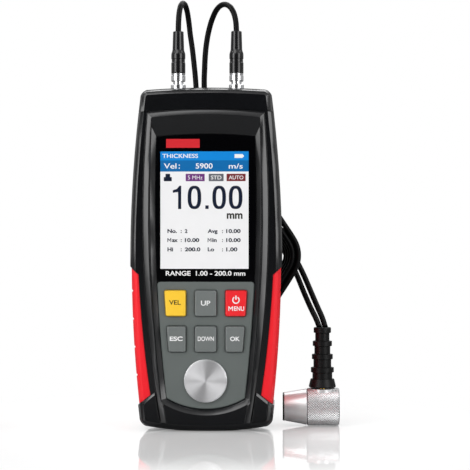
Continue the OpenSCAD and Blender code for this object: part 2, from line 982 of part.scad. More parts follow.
module key_down() {
    key(0, 1, grey_key);
}

module key_ok() {
    key(1, 1, grey_key);
}

module key_switches() {
    color("#303236")
        for (p = KEY_PLACES) {
            at = middle(key_outline(p.x, p.y));
            block(
                [at.x - switch_w / 2, board_y - switch_t, at.y - switch_w / 2],
                [at.x + switch_w / 2, board_y, at.y + switch_w / 2]
            );
            pin_y(plunger_d, at.x, at.y, board_y - switch_t - plunger_t, board_y);
        }
}

module main_board() {
    right = [
        [board_low_half, board_low_z],
        [board_low_half, board_step_z],
        [board_half, board_step_z + spare],
        [board_half, board_top_z - board_chamfer],
        [board_low_half, board_top_z]
    ];
    left = [for (i = [len(right) - 1:-1:0]) [-right[i].x, right[i].y]];
    color(board_green)
        difference() {
            prism_y(board_y, board_y + board_t)
                polygon(concat(right, left));
            for (p = POST_PLACES)
                pin_y(board_screw_d + 2 * fit, p.x, p.y, board_y - spare, board_y + board_t + spare);
        }
}

// Processor, memory, crystal can, beeper and power inductor on the back of the board
module board_parts() {
    back = board_y + board_t;
    color("#202226")
        translate([0, back, board_mid_z]) {
            for (chip = CHIPS)
                translate([chip[0].x, chip[1].z / 2, chip[0].y])
                    cube([chip[1].x, chip[1].z, chip[1].y], center = true);
            for (can = CANS)
                pin_y(can[1].x, can[0].x, can[0].y, 0, can[1].y);
        }
}

module board_screws() {
    color(steel)
        for (p = POST_PLACES) {
            pin_y(board_screw_d, p.x, p.y, board_y - board_screw_l + spare, board_y + board_t);
            pin_y(
                2 * board_screw_d, p.x, p.y,
                board_y + board_t, board_y + board_t + board_screw_head_t
            );
        }
}

// Steel disc for checking the gauge
module test_disc() {
    edge = 0.6;
    r = disc_d / 2;
    color(steel)
        translate([0, 0, disc_z])
            rotate([-90, 0, 0])
                rotate_extrude($fn = 96)
                    polygon([
                        [0, disc_y],
                        [r - edge, disc_y],
                        [r, disc_y + edge],
                        [r, disc_y + disc_t],
                        [0, disc_y + disc_t]
                    ]);
}

// Turned piece on a socket's axis, from [radius, z] pairs
module turned(side, profile) {
    translate([side * socket_x, socket_y, 0])
        rotate_extrude()
            polygon(profile);
}

// Coax socket: flange inside the cap, barrel, bore and solder tail
module socket(side) {
    flange_z = socket_seat_z - cap_top_wall - socket_play;
    flange_r = socket_d / 2 + 1.2;
    flange_low_z = flange_z - 1.4;
    barrel_z = flange_z - 4;
    tail_z = flange_z - socket_tail;
    bore_d = 3.4;
    tail_d = 2;
    bore_z = socket_top_z - 6;
    color(steel)
        turned(side, [
            [0, tail_z],
            [tail_d / 2, tail_z],
            [tail_d / 2, barrel_z],
            [socket_d / 2, barrel_z],
            [socket_d / 2, flange_low_z],
            [flange_r, flange_low_z],
            [flange_r, flange_z],
            [socket_d / 2, flange_z],
            [socket_d / 2, socket_top_z],
            [bore_d / 2, socket_top_z],
            [bore_d / 2, bore_z],
            [0, bore_z]
        ]);
}

module socket_left() {
    socket(-1);
}

module socket_right() {
    socket(1);
}

// Ring nuts that hold the sockets in the cap, with holes for a pin spanner
module socket_nuts() {
    edge = 0.35;
    r = nut_d / 2;
    bore = socket_d / 2 + fit / 3;
    pin_hole_d = 1.2;
    pin_hole_z = socket_seat_z + 0.6 * nut_h;
    color(steel)
        for (side = [-1, 1])
            difference() {
                turned(side, [
                    [bore, socket_seat_z],
                    [r - edge, socket_seat_z],
                    [r, socket_seat_z + edge],
                    [r, socket_seat_z + nut_h - edge],
                    [r - edge, socket_seat_z + nut_h],
                    [bore, socket_seat_z + nut_h]
                ]);
                for (turn = [0:90:270])
                    translate([side * socket_x, socket_y, pin_hole_z])
                        rotate([90, 0, turn])
                            translate([0, 0, (bore + r) / 2])
                                cylinder(d = pin_hole_d, h = r, $fn = 16);
            }
}

// Wires from the sockets' tails down to the board
module socket_wires() {
    wire_d = 1.2;
    top_z = socket_seat_z - cap_top_wall - socket_play - socket_tail;
    pad_z = board_top_z - board_margin / 2;
    color("#b8862a")
        for (side = [-1, 1])
            translate([side * socket_x, 0, 0]) {
                translate([0, socket_y, pad_z])
                    cylinder(d = wire_d, h = top_z - pad_z);
                translate([0, board_y + board_t, pad_z + wire_d / 2])
                    rotate([-90, 0, 0])
                        cylinder(d = wire_d, h = socket_y - board_y - board_t);
            }
}

// Push-pull plug: grooved sleeve, pin in the socket and spigot in the boot
module plug(side) {
    groove = 0.25;
    groove_z = socket_top_z + plug_h - 0.9;
    groove_w = 0.7;
    pin_d = 3.2;
    pin_z = socket_top_z - 5.5;
    spigot_d = 3.6;
    spigot_top_z = boot_z + 4;
    r = plug_d / 2;
    color(steel)
        turned(side, [
            [0, pin_z],
            [pin_d / 2, pin_z],
            [pin_d / 2, socket_top_z],
            [r - groove, socket_top_z],
            [r, socket_top_z + groove],
            [r, groove_z],
            [r - groove, groove_z + groove],
            [r - groove, groove_z + groove_w - groove],
            [r, groove_z + groove_w],
            [r, socket_top_z + plug_h],
            [spigot_d / 2, socket_top_z + plug_h],
            [spigot_d / 2, spigot_top_z],
            [0, spigot_top_z]
        ]);
}

module plug_left() {
    plug(-1);
}

module plug_right() {
    plug(1);
}

// Rubber boot that bends with the lead: a flared skirt under a slim neck
module plug_boot(side) {
    bore_d = 3.7;
    bore_top_z = boot_z + 4.4;
    lead_bore_d = lead_d + 2 * fit;
    low_r = plug_d / 2;
    neck_r = 2.75;
    top_r = 2.5;
    edge = 0.3;
    end_l = 5;
    flare_z = boot_z + 8.8;
    flare_l = 2.7;
    flare_steps = 6;
    ring_z = boot_z + 5.2;
    ring_t = 1.6;
    ring_depth = 0.2;
    flare = [
        for (k = [0:flare_steps])
            let (swell = (1 + cos(180 * k / flare_steps)) / 2)
            [neck_r + (low_r - neck_r) * swell, flare_z + flare_l * k / flare_steps]
    ];
    color(dark_rubber)
        turned(side, concat(
            [[bore_d / 2, boot_z]],
            [for (a = [0:30:90]) [low_r - edge + edge * sin(a), boot_z + edge - edge * cos(a)]],
            [[low_r, ring_z - ring_depth], [low_r - ring_depth, ring_z]],
            [[low_r - ring_depth, ring_z + ring_t], [low_r, ring_z + ring_t + ring_depth]],
            flare,
            [[top_r, boot_top_z - edge], [top_r - edge, boot_top_z]],
            [[lead_bore_d / 2, boot_top_z], [lead_bore_d / 2, boot_top_z - end_l]],
            [[bore_d / 2, bore_top_z]]
        ));
}

module plug_boot_left() {
    plug_boot(-1);
}

module plug_boot_right() {
    plug_boot(1);
}

// Round tube swept along a route, with one ring of points at each of the route's points
module swept_tube(route, d) {
    n = len(route);
    sides = lead_sides;
    function heading(i) = unit_of(route[min(i + 1, n - 1)] - route[max(i - 1, 0)]);
    points = [
        for (i = [0:n - 1])
            let (
                t = heading(i),
                u = unit_of(cross(t, [0, 1, 0])),
                v = cross(t, u)
            )
            for (k = [0:sides - 1])
                route[i] + d / 2 * (cos(360 * k / sides) * u + sin(360 * k / sides) * v)
    ];
    walls = [
        for (i = [0:n - 2])
            for (k = [0:sides - 1])
                let (
                    a = i * sides + k,
                    b = i * sides + after(k, sides)
                )
                each [[a, a + sides, b + sides], [a, b + sides, b]]
    ];
    ends = [
        [for (k = [0:sides - 1]) k],
        [for (k = [sides - 1:-1:0]) (n - 1) * sides + k]
    ];
    polyhedron(points, concat(walls, ends));
}

module lead_left_top() {
    color(dark_rubber)
        swept_tube(left_top_route, lead_d);
}

module lead_right_top() {
    color(dark_rubber)
        swept_tube(right_top_route, lead_d);
}

module lead_left_tail() {
    color(dark_rubber)
        swept_tube(left_tail_route, lead_d);
}

module lead_right_tail() {
    color(dark_rubber)
        swept_tube(right_tail_route, lead_d);
}

// Outer form of the folded spare lead
module lead_hank() {
    run = hank_top - hank_low;
    lean = atan2(run.x, run.y);
    color(dark_rubber)
        translate([hank_low.x, 0, hank_low.y])
            rotate([0, lean, 0])
                prism_y(hank_front_y, hank_back_y)
                    union() {
                        circle(hank_r);
                        translate([0, norm(run)])
                            circle(hank_r);
                        translate([-hank_r, 0])
                            square([2 * hank_r, norm(run)]);
                    }
}

// Strap round the middle of the hank
module hank_tie() {
    run = hank_top - hank_low;
    lean = atan2(run.x, run.y);
    inner = [hank_r, (hank_back_y - hank_front_y) / 2];
    mid_y = (hank_front_y + hank_back_y) / 2;
    color("#2a2b2e")
        translate([(hank_top.x + hank_low.x) / 2, mid_y, (hank_top.y + hank_low.y) / 2])
            rotate([0, lean, 0])
                difference() {
                    cube([2 * (inner.x + tie_t), 2 * (inner.y + tie_t), tie_w], center = true);
                    cube([2 * inner.x, 2 * inner.y, tie_w + spare], center = true);
                }
}

// Ribbed rubber boot that stands on the probe
module probe_boot() {
    ring_h = 2.5;
    pitch = 6.3;
    ring_radii = [4.15, 4.6, 5, 5.5];
    neck_radii = [3.4, 3.8, 4.25, 4.75];
    rib_edge = 0.3;
    foot_r = 6.5;
    foot_gap = 0.3;
    foot_z = probe_d + foot_gap;
    foot_t = 0.5;
    flare_r = 5.65;
    flare_z = foot_z + 4;
    ribs = [
        for (i = [3:-1:0])
            let (z = probe_boot_z - i * pitch)
            each [
                [neck_radii[i], z - ring_h - rib_edge],
                [ring_radii[i], z - ring_h],
                [ring_radii[i], z - rib_edge],
                [i == 0 ? ring_radii[i] - rib_edge : neck_radii[i - 1], z]
            ]
    ];
    color(dark_rubber)
        difference() {
            translate([probe_x, probe_y, 0])
                rotate_extrude()
                    polygon(concat(
                        [[0, foot_z], [foot_r - rib_edge, foot_z], [foot_r, foot_z + foot_t]],
                        [[flare_r, flare_z], [neck_radii[3], flare_z]],
                        ribs,
                        [[0, probe_boot_z]]
                    ));
            translate([probe_x, probe_y, 0])
                cylinder(d = stem_d + 2 * fit, h = stem_top_z + fit);
        }
}

// Frame of the probe: Z along its axis, from the face towards the back end
module along_probe() {
    translate([nose_x, probe_y, probe_z])
        rotate([0, 90, 0])
            children();
}

// Probe housing, with the stem that carries the boot
module probe_body() {
    edge = 0.5;
    r = probe_r;
    inner = nose_base_d / 2 - collar_wall;
    color(steel)
        difference() {
            union() {
                along_probe()
                    rotate_extrude($fn = 96)
                        polygon([
                            [0, nose_l],
                            [r - edge, nose_l],
                            [r, nose_l + edge],
                            [r, nose_l + probe_l - edge],
                            [r - edge, nose_l + probe_l],
                            [0, nose_l + probe_l]
                        ]);
                translate([probe_x, probe_y, probe_z])
                    cylinder(d = stem_d, h = stem_top_z - probe_z);
            }
            along_probe()
                translate([0, 0, nose_l - spare])
                    cylinder(r = inner, h = probe_l - probe_wall + spare);
            translate([probe_x, probe_y, probe_z])
                cylinder(d = stem_d - 2 * nose_wall, h = reach);
        }
}

// Polished nose, a thin tapered tube with a collar inside the housing
module probe_nose() {
    tip_r = probe_face_d / 2;
    base_r = nose_base_d / 2;
    collar_r = base_r - collar_wall - fit;
    edge = 0.3;
    color("#dfe1e3")
        along_probe()
            rotate_extrude($fn = 96)
                polygon([
                    [tip_r - nose_wall, face_t],
                    [tip_r, face_t],
                    [base_r, nose_l - edge],
                    [base_r - edge, nose_l],
                    [collar_r, nose_l],
                    [collar_r, nose_l + collar_l],
                    [tip_r - nose_wall, nose_l + collar_l]
                ]);
}

// Black wear face with a shallow lip over the end of the nose
module probe_face() {
    edge = 0.3;
    tip_r = probe_face_d / 2;
    color("#101012")
        along_probe()
            rotate_extrude($fn = 96)
                polygon([
                    [0, 0],
                    [tip_r - edge, 0],
                    [tip_r, edge],
                    [tip_r, face_t],
                    [0, face_t]
                ]);
}

// One of the two halves of a disc on the probe's axis, left of or right of the barrier
module half_disc(d, z0, z1, side) {
    along_probe()
        intersection() {
            translate([0, 0, z0])
                cylinder(d = d, h = z1 - z0);
            translate([-reach, side > 0 ? barrier_t / 2 : -reach, -reach])
                cube([2 * reach, reach - (side > 0 ? 0 : barrier_t / 2), 2 * reach]);
        }
}

// Two delay blocks with a crystal on the back of each
module probe_crystals() {
    color("#c8b88a")
        for (side = [-1, 1])
            half_disc(inner_d, face_t, face_t + delay_l + crystal_t, side);
}

module probe_barrier() {
    barrier_w = inner_d - 0.8;
    color("#7a5c3a")
        along_probe()
            translate([-barrier_w / 2, -barrier_t / 2, face_t])
                cube([barrier_w, barrier_t, delay_l + crystal_t]);
}

module probe_backing() {
    z0 = face_t + delay_l + crystal_t;
    color("#3a3a3c")
        along_probe()
            translate([0, 0, z0])
                cylinder(d = inner_d, h = nose_l + collar_l - z0);
}

// Sliding battery door with side tongues and thumb ribs
module battery_door() {
    rib_z = door_top_z - 9;
    rib_pitch = 2.4;
    rib_l = 16;
    rib_w = 1;
    color(black_plastic)
        difference() {
            union() {
                intersection() {
                    housing();
                    block([-door_half, door_y, -spare], [door_half, back_y + spare, door_top_z]);
                }
                for (side = [-1, 1])
                    block(
                        [min(0, side * (door_half + tongue_w)), door_y, tongue_low_z],
                        [max(0, side * (door_half + tongue_w)), door_y + tongue_t, tongue_top_z]
                    );
            }
            for (i = [0:3])
                translate([0, back_y, rib_z - i * rib_pitch])
                    rotate([45, 0, 0])
                        cube([rib_l, rib_w, rib_w], center = true);
        }
}

module batteries() {
    nub_d = 4;
    nub_l = 1;
    z0 = tray_z + contact_t + spring_l;
    color("#3c6ea5")
        for (x = CELL_PLACES)
            translate([x, cell_y, z0]) {
                cylinder(d = cell_d, h = cell_l - nub_l);
                cylinder(d = nub_d, h = cell_l);
            }
}

// Conical springs under the cells, drawn pressed down
module battery_springs() {
    wire = 0.8;
    turns = 6;
    step = spring_l / turns;
    low_r = 3.6;
    narrowing = 0.3;
    color(steel)
        for (x = CELL_PLACES)
            translate([x, cell_y, tray_z + contact_t])
                rotate_extrude()
                    polygon(concat(
                        [for (i = [0:turns - 1]) each [
                            [low_r - i * narrowing, i * step],
                            [low_r - i * narrowing, (i + 0.7) * step],
                            [low_r - i * narrowing - wire / 4, (i + 0.85) * step]
                        ]],
                        [[low_r - turns * narrowing, spring_l], [low_r - turns * narrowing - wire, spring_l]],
                        [[low_r - 2 * wire, 0]]
                    ));
}

module battery_contacts() {
    plate_w = 7;
    color(steel)
        for (z = [tray_z, tray_z + tray_l - contact_t])
            block(
                [-tray_half + fit, cell_y - plate_w / 2, z],
                [tray_half - fit, cell_y + plate_w / 2, z + contact_t]
            );
}

// Four screws that pull the shells together
module housing_screws() {
    head_y = back_y - screw_sink - screw_head_t;
    cross_w = 0.7;
    cross_l = 2.6;
    color(steel)
        for (p = SCREW_PLACES)
            difference() {
                union() {
                    pin_y(screw_d, p.x, p.y, screw_tip_y, head_y + spare);
                    pin_y(screw_head_d, p.x, p.y, head_y, head_y + screw_head_t);
                }
                for (turn = [0, 90])
                    translate([p.x, head_y + screw_head_t, p.y])
                        rotate([0, turn, 0])
                            cube([cross_l, 2 * cross_w, cross_w], center = true);
            }
}

front_shell();
rear_shell();
top_cap();
grip_left();
grip_right();
display_window();
display_module();
display_frame();
keypad_panel();
key_vel();
key_up();
key_menu();
key_esc();
key_down();
key_ok();
key_switches();
main_board();
board_parts();
board_screws();
test_disc();
socket_left();
socket_right();
socket_nuts();
socket_wires();
plug_left();
plug_right();
plug_boot_left();
plug_boot_right();
lead_left_top();
lead_right_top();
lead_hank();
hank_tie();
lead_left_tail();
lead_right_tail();
probe_boot();
probe_body();
probe_nose();
probe_face();
probe_crystals();
probe_barrier();
probe_backing();
battery_door();
batteries();
battery_springs();
battery_contacts();
housing_screws();
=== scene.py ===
"""Looks of a handheld ultrasonic thickness gauge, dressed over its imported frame."""

import json
import math

import bmesh
import bpy
from mathutils import Matrix, Vector

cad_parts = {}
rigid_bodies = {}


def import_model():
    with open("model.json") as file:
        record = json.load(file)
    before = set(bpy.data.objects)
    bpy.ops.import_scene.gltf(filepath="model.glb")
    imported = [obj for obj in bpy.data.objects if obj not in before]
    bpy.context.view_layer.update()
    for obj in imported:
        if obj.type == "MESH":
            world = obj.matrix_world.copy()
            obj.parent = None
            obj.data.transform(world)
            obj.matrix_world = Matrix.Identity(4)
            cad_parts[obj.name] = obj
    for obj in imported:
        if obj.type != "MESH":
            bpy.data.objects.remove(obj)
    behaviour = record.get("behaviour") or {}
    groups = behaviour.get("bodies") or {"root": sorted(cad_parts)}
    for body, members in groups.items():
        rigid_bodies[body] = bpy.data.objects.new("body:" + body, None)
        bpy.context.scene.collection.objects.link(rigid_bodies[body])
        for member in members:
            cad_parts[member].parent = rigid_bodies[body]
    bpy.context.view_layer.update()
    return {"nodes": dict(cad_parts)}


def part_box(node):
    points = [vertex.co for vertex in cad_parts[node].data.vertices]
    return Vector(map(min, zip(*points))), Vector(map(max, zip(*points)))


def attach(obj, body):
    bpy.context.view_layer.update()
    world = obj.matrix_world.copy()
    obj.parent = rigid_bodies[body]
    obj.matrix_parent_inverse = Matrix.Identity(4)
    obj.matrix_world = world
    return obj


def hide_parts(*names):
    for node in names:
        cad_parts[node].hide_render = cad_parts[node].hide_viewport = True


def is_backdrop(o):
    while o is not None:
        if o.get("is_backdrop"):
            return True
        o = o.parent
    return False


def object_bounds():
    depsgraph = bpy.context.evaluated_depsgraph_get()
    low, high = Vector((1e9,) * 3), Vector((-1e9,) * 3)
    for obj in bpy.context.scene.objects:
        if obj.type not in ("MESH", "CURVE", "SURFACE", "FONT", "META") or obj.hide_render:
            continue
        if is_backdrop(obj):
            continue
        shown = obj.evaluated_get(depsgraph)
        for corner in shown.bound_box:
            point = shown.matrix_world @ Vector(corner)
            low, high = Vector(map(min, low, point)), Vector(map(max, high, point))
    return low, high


for leftover in list(bpy.data.objects):
    bpy.data.objects.remove(leftover)

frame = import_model()
nodes = frame["nodes"]
scene = bpy.context.scene
MM = 0.001


def mm(x, y, z):
    """A point given in millimetres."""
    return Vector((x, y, z)) * MM


def srgb(red, green, blue):
    """A colour written as 0 to 255 values, for a shader socket."""
    def linear(value):
        value /= 255
        return value / 12.92 if value <= 0.04045 else ((value + 0.055) / 1.055) ** 2.4

    return linear(red), linear(green), linear(blue), 1.0


# Camera: level, to the right of the gauge's middle and turned a little towards it
CAMERA_AWAY = 700
CAMERA_HEIGHT = 91.2
CAMERA_AT = mm(35.8, -CAMERA_AWAY, CAMERA_HEIGHT)
CAMERA_AIM = mm(13.6, -14, CAMERA_HEIGHT)
PICTURE_W = 222.4
SENSOR_W = 36

camera_data = bpy.data.cameras.new("photo_camera")
camera_data.sensor_width = SENSOR_W
camera_data.lens = SENSOR_W * CAMERA_AWAY / PICTURE_W
camera = bpy.data.objects.new("photo_camera", camera_data)
camera.location = CAMERA_AT
camera.rotation_euler = (CAMERA_AIM - CAMERA_AT).to_track_quat("-Z", "Y").to_euler()
scene.collection.objects.link(camera)
scene.camera = camera


# Node groups that several finishes share
SLOW_SHARE = 0.03


def new_group(name, inputs, outputs):
    """An empty node group, with its input and output nodes."""
    tree = bpy.data.node_groups.new(name, "ShaderNodeTree")
    for label, kind, value in inputs:
        socket = tree.interface.new_socket(label, in_out="INPUT", socket_type="NodeSocket" + kind)
        if kind != "Vector":
            socket.default_value = value
    for label, kind in outputs:
        tree.interface.new_socket(label, in_out="OUTPUT", socket_type="NodeSocket" + kind)
    return tree, tree.nodes.new("NodeGroupInput"), tree.nodes.new("NodeGroupOutput")


def math_node(tree, operation, first, second):
    """A math node whose two inputs are sockets or numbers."""
    node = tree.nodes.new("ShaderNodeMath")
    node.operation = operation
    for slot, value in enumerate((first, second)):
        if isinstance(value, (int, float)):
            node.inputs[slot].default_value = value
        else:
            tree.links.new(value, node.inputs[slot])
    return node.outputs[0]


def noise_node(tree, vector, scale, detail):
    """A noise whose scale is a socket or a number."""
    node = tree.nodes.new("ShaderNodeTexNoise")
    tree.links.new(vector, node.inputs["Vector"])
    if isinstance(scale, (int, float)):
        node.inputs["Scale"].default_value = scale
    else:
        tree.links.new(scale, node.inputs["Scale"])
    node.inputs["Detail"].default_value = detail
    return node.outputs["Fac"]


def spread_about(tree, base, spread, factor):
    """base, moved up or down by at most half of spread."""
    shift = math_node(tree, "SUBTRACT", factor, 0.5)
    return math_node(tree, "ADD", base, math_node(tree, "MULTIPLY", shift, spread))


def make_grain_group():
    """Fine moulded grain, with slow changes of gloss over it."""
    tree, given, result = new_group(
        "moulded_grain",
        [("Vector", "Vector", None), ("Scale", "Float", 4000), ("Roughness", "Float", 0.5),
         ("Spread", "Float", 0.1)],
        [("Roughness", "Float"), ("Height", "Float")],
    )
    fine = noise_node(tree, given.outputs["Vector"], given.outputs["Scale"], 3)
    slow_scale = math_node(tree, "MULTIPLY", given.outputs["Scale"], SLOW_SHARE)
    slow = noise_node(tree, given.outputs["Vector"], slow_scale, 2)
    gloss = spread_about(tree, given.outputs["Roughness"], given.outputs["Spread"], slow)
    tree.links.new(gloss, result.inputs["Roughness"])
    tree.links.new(fine, result.inputs["Height"])
    return tree


def make_drift_group():
    """A colour that drifts slowly towards a second one."""
    tree, given, result = new_group(
        "shade_drift",
        [("Vector", "Vector", None), ("Scale", "Float", 60), ("Colour", "Color", (1, 1, 1, 1)),
         ("Second Colour", "Color", (1, 1, 1, 1))],
        [("Colour", "Color")],
    )
    factor = noise_node(tree, given.outputs["Vector"], given.outputs["Scale"], 3)
    mix = tree.nodes.new("ShaderNodeMix")
    mix.data_type = "RGBA"
    tree.links.new(factor, mix.inputs["Factor"])
    tree.links.new(given.outputs["Colour"], mix.inputs["A"])
    tree.links.new(given.outputs["Second Colour"], mix.inputs["B"])
    tree.links.new(mix.outputs["Result"], result.inputs["Colour"])
    return tree


def make_lathe_group():
    """Tool marks of a turned face, which change only along one distance."""
    tree, given, result = new_group(
        "lathe_marks",
        [("Distance", "Float", 0), ("Scale", "Float", 9000), ("Roughness", "Float", 0.25),
         ("Spread", "Float", 0.2)],
        [("Roughness", "Float"), ("Height", "Float")],
    )
    marks = tree.nodes.new("ShaderNodeTexNoise")
    marks.noise_dimensions = "1D"
    marks.inputs["Scale"].default_value = 1
    marks.inputs["Detail"].default_value = 4
    along = math_node(tree, "MULTIPLY", given.outputs["Distance"], given.outputs["Scale"])
    tree.links.new(along, marks.inputs["W"])
    gloss = spread_about(tree, given.outputs["Roughness"], given.outputs["Spread"], marks.outputs["Fac"])
    tree.links.new(gloss, result.inputs["Roughness"])
    tree.links.new(marks.outputs["Fac"], result.inputs["Height"])
    return tree


GRAIN = make_grain_group()
DRIFT = make_drift_group()
LATHE = make_lathe_group()


def place_group(tree, group, **values):
    """A group node in a material, with its named inputs set."""
    node = tree.nodes.new("ShaderNodeGroup")
    node.node_tree = group
    for label, value in values.items():
        socket = node.inputs[label.replace("_", " ")]
        if isinstance(value, bpy.types.NodeSocket):
            tree.links.new(value, socket)
        else:
            socket.default_value = value
    return node


# How often a shade changes in a metre, and how deep grain and tool marks are in millimetres
MOULDED_DRIFT = 70
METAL_DRIFT = 90
GRAIN_DEPTH = 0.04
MARK_DEPTH = 0.02


def new_material(name):
    """A material with its shader and object coordinates."""
    made = bpy.data.materials.new(name)
    made.use_nodes = True
    tree = made.node_tree
    shader = tree.nodes["Principled BSDF"]
    place = tree.nodes.new("ShaderNodeTexCoord").outputs["Object"]
    return made, tree, shader, place


def bump(tree, shader, height, strength, depth_mm):
    """Fine relief on a shader, from a socket of heights."""
    node = tree.nodes.new("ShaderNodeBump")
    node.inputs["Strength"].default_value = strength
    node.inputs["Distance"].default_value = depth_mm * MM
    tree.links.new(height, node.inputs["Height"])
    tree.links.new(node.outputs["Normal"], shader.inputs["Normal"])


def moulded(name, colour, second, roughness, spread, scale, strength, specular=0.5):
    """Moulded plastic or rubber: drifting colour, fine grain and uneven gloss."""
    made, tree, shader, place = new_material(name)
    shades = {"Colour": srgb(*colour), "Second_Colour": srgb(*second)}
    drift = place_group(tree, DRIFT, Vector=place, Scale=MOULDED_DRIFT, **shades)
    grain = place_group(tree, GRAIN, Vector=place, Scale=scale, Roughness=roughness, Spread=spread)
    tree.links.new(drift.outputs["Colour"], shader.inputs["Base Color"])
    tree.links.new(grain.outputs["Roughness"], shader.inputs["Roughness"])
    bump(tree, shader, grain.outputs["Height"], strength, GRAIN_DEPTH)
    shader.inputs["Specular IOR Level"].default_value = specular
    return made


def turned_metal(
    name, colour, second, roughness, spread, distance_of, scale, strength, anisotropic=0.0, metallic=1.0
):
    """Turned metal with tool marks along a distance that distance_of works out."""
    made, tree, shader, place = new_material(name)
    shades = {"Colour": srgb(*colour), "Second_Colour": srgb(*second)}
    drift = place_group(tree, DRIFT, Vector=place, Scale=METAL_DRIFT, **shades)
    distance = distance_of(tree, place)
    marks = place_group(tree, LATHE, Distance=distance, Scale=scale, Roughness=roughness, Spread=spread)
    tree.links.new(drift.outputs["Colour"], shader.inputs["Base Color"])
    tree.links.new(marks.outputs["Roughness"], shader.inputs["Roughness"])
    bump(tree, shader, marks.outputs["Height"], strength, MARK_DEPTH)
    shader.inputs["Metallic"].default_value = metallic
    shader.inputs["Anisotropic"].default_value = anisotropic
    return made


def along_axis(axis):
    """Distance along X, Y or Z."""
    def distance(tree, place):
        split = tree.nodes.new("ShaderNodeSeparateXYZ")
        tree.links.new(place, split.inputs[0])
        return split.outputs[axis]

    return distance


def vector_node(tree, operation, first, second=None):
    """A vector node on a socket, with a fixed second vector where the operation takes one."""
    node = tree.nodes.new("ShaderNodeVectorMath")
    node.operation = operation
    tree.links.new(first, node.inputs[0])
    if second is not None:
        node.inputs[1].default_value = second
    return node.outputs["Value" if operation == "LENGTH" else "Vector"]


def axis_distance(tree, place, centre, across):
    """Distance from a line through centre. The two axes across the line are marked with 1."""
    flat = vector_node(tree, "MULTIPLY", vector_node(tree, "SUBTRACT", place, centre), across)
    return vector_node(tree, "LENGTH", flat)


def about_y(x, z):
    """Distance from a line along Y."""
    def distance(tree, place):
        return axis_distance(tree, place, (x, 0, z), (1, 0, 1))

    return distance


DISC_Z = sum(c.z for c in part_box("test_disc")) / 2

# Each finish: two shades, roughness and its spread, scale and strength of the grain, specular level
black_plastic = moulded("black_plastic", (10, 11, 13), (14, 15, 18), 0.2, 0.05, 5200, 0.1, 0.6)
red_rubber = moulded("red_rubber", (240, 16, 32), (246, 20, 38), 0.5, 0.12, 3600, 0.35, 0.35)
black_window = moulded("black_window", (3, 3, 4), (4, 4, 6), 0.08, 0.04, 900, 0.02, 0.4)
grey_panel = moulded("grey_panel", (93, 100, 98), (100, 106, 104), 0.5, 0.08, 4200, 0.25)
grey_key = moulded("grey_key", (108, 113, 112), (114, 119, 118), 0.34, 0.1, 3800, 0.12, 0.7)
yellow_key = moulded("yellow_key", (252, 200, 44), (250, 206, 56), 0.38, 0.1, 3800, 0.12)
red_key = moulded("red_key", (236, 24, 34), (242, 30, 40), 0.38, 0.1, 3800, 0.12)
black_rubber = moulded("black_rubber", (13, 13, 15), (18, 18, 20), 0.2, 0.08, 2600, 0.06)
soft_rubber = moulded("soft_rubber", (8, 8, 9), (12, 12, 13), 0.42, 0.1, 2600, 0.1, 0.25)
lead_jacket = moulded("lead_jacket", (4, 4, 5), (8, 8, 9), 0.42, 0.12, 2200, 0.5, 0.12)
tie_fabric = moulded("tie_fabric", (34, 34, 38), (44, 44, 48), 0.8, 0.1, 1800, 0.8)
dark_plastic = moulded("dark_plastic", (40, 42, 46), (52, 54, 58), 0.45, 0.1, 3000, 0.2)
white_plastic = moulded("white_plastic", (222, 222, 216), (230, 230, 226), 0.45, 0.1, 3000, 0.2)
display_panel = moulded("display_panel", (214, 216, 220), (224, 225, 228), 0.3, 0.08, 1500, 0.05)
board_laminate = moulded("board_laminate", (26, 84, 52), (34, 98, 62), 0.35, 0.2, 700, 0.3)
delay_resin = moulded("delay_resin", (196, 180, 136), (208, 194, 152), 0.3, 0.1, 900, 0.1)
cell_sleeve = moulded("cell_sleeve", (44, 88, 150), (54, 100, 164), 0.25, 0.08, 600, 0.05)
# Metals: where their tool marks lie comes before the marks' scale and strength
spun_steel = turned_metal(
    "spun_steel", (240, 240, 242), (246, 246, 248), 0.46, 0.14, about_y(0, DISC_Z), 16000, 0.08, 0.9
)
bright_metal = turned_metal(
    "bright_metal", (222, 223, 226), (232, 233, 235), 0.24, 0.08, along_axis(2), 9000, 0.04
)
polished_metal = turned_metal(
    "polished_metal", (240, 241, 242), (246, 247, 248), 0.36, 0.06, along_axis(0), 9000, 0.03, metallic=0.6
)
knurled_metal = turned_metal(
    "knurled_metal", (236, 237, 238), (242, 243, 244), 0.3, 0.1, along_axis(0), 3000, 0.02, metallic=0.55
)
plain_steel = turned_metal(
    "plain_steel", (176, 178, 182), (192, 194, 198), 0.3, 0.1, along_axis(1), 4000, 0.05
)
wire_brass = turned_metal("wire_brass", (190, 146, 62), (204, 162, 80), 0.3, 0.1, along_axis(2), 4000, 0.05)


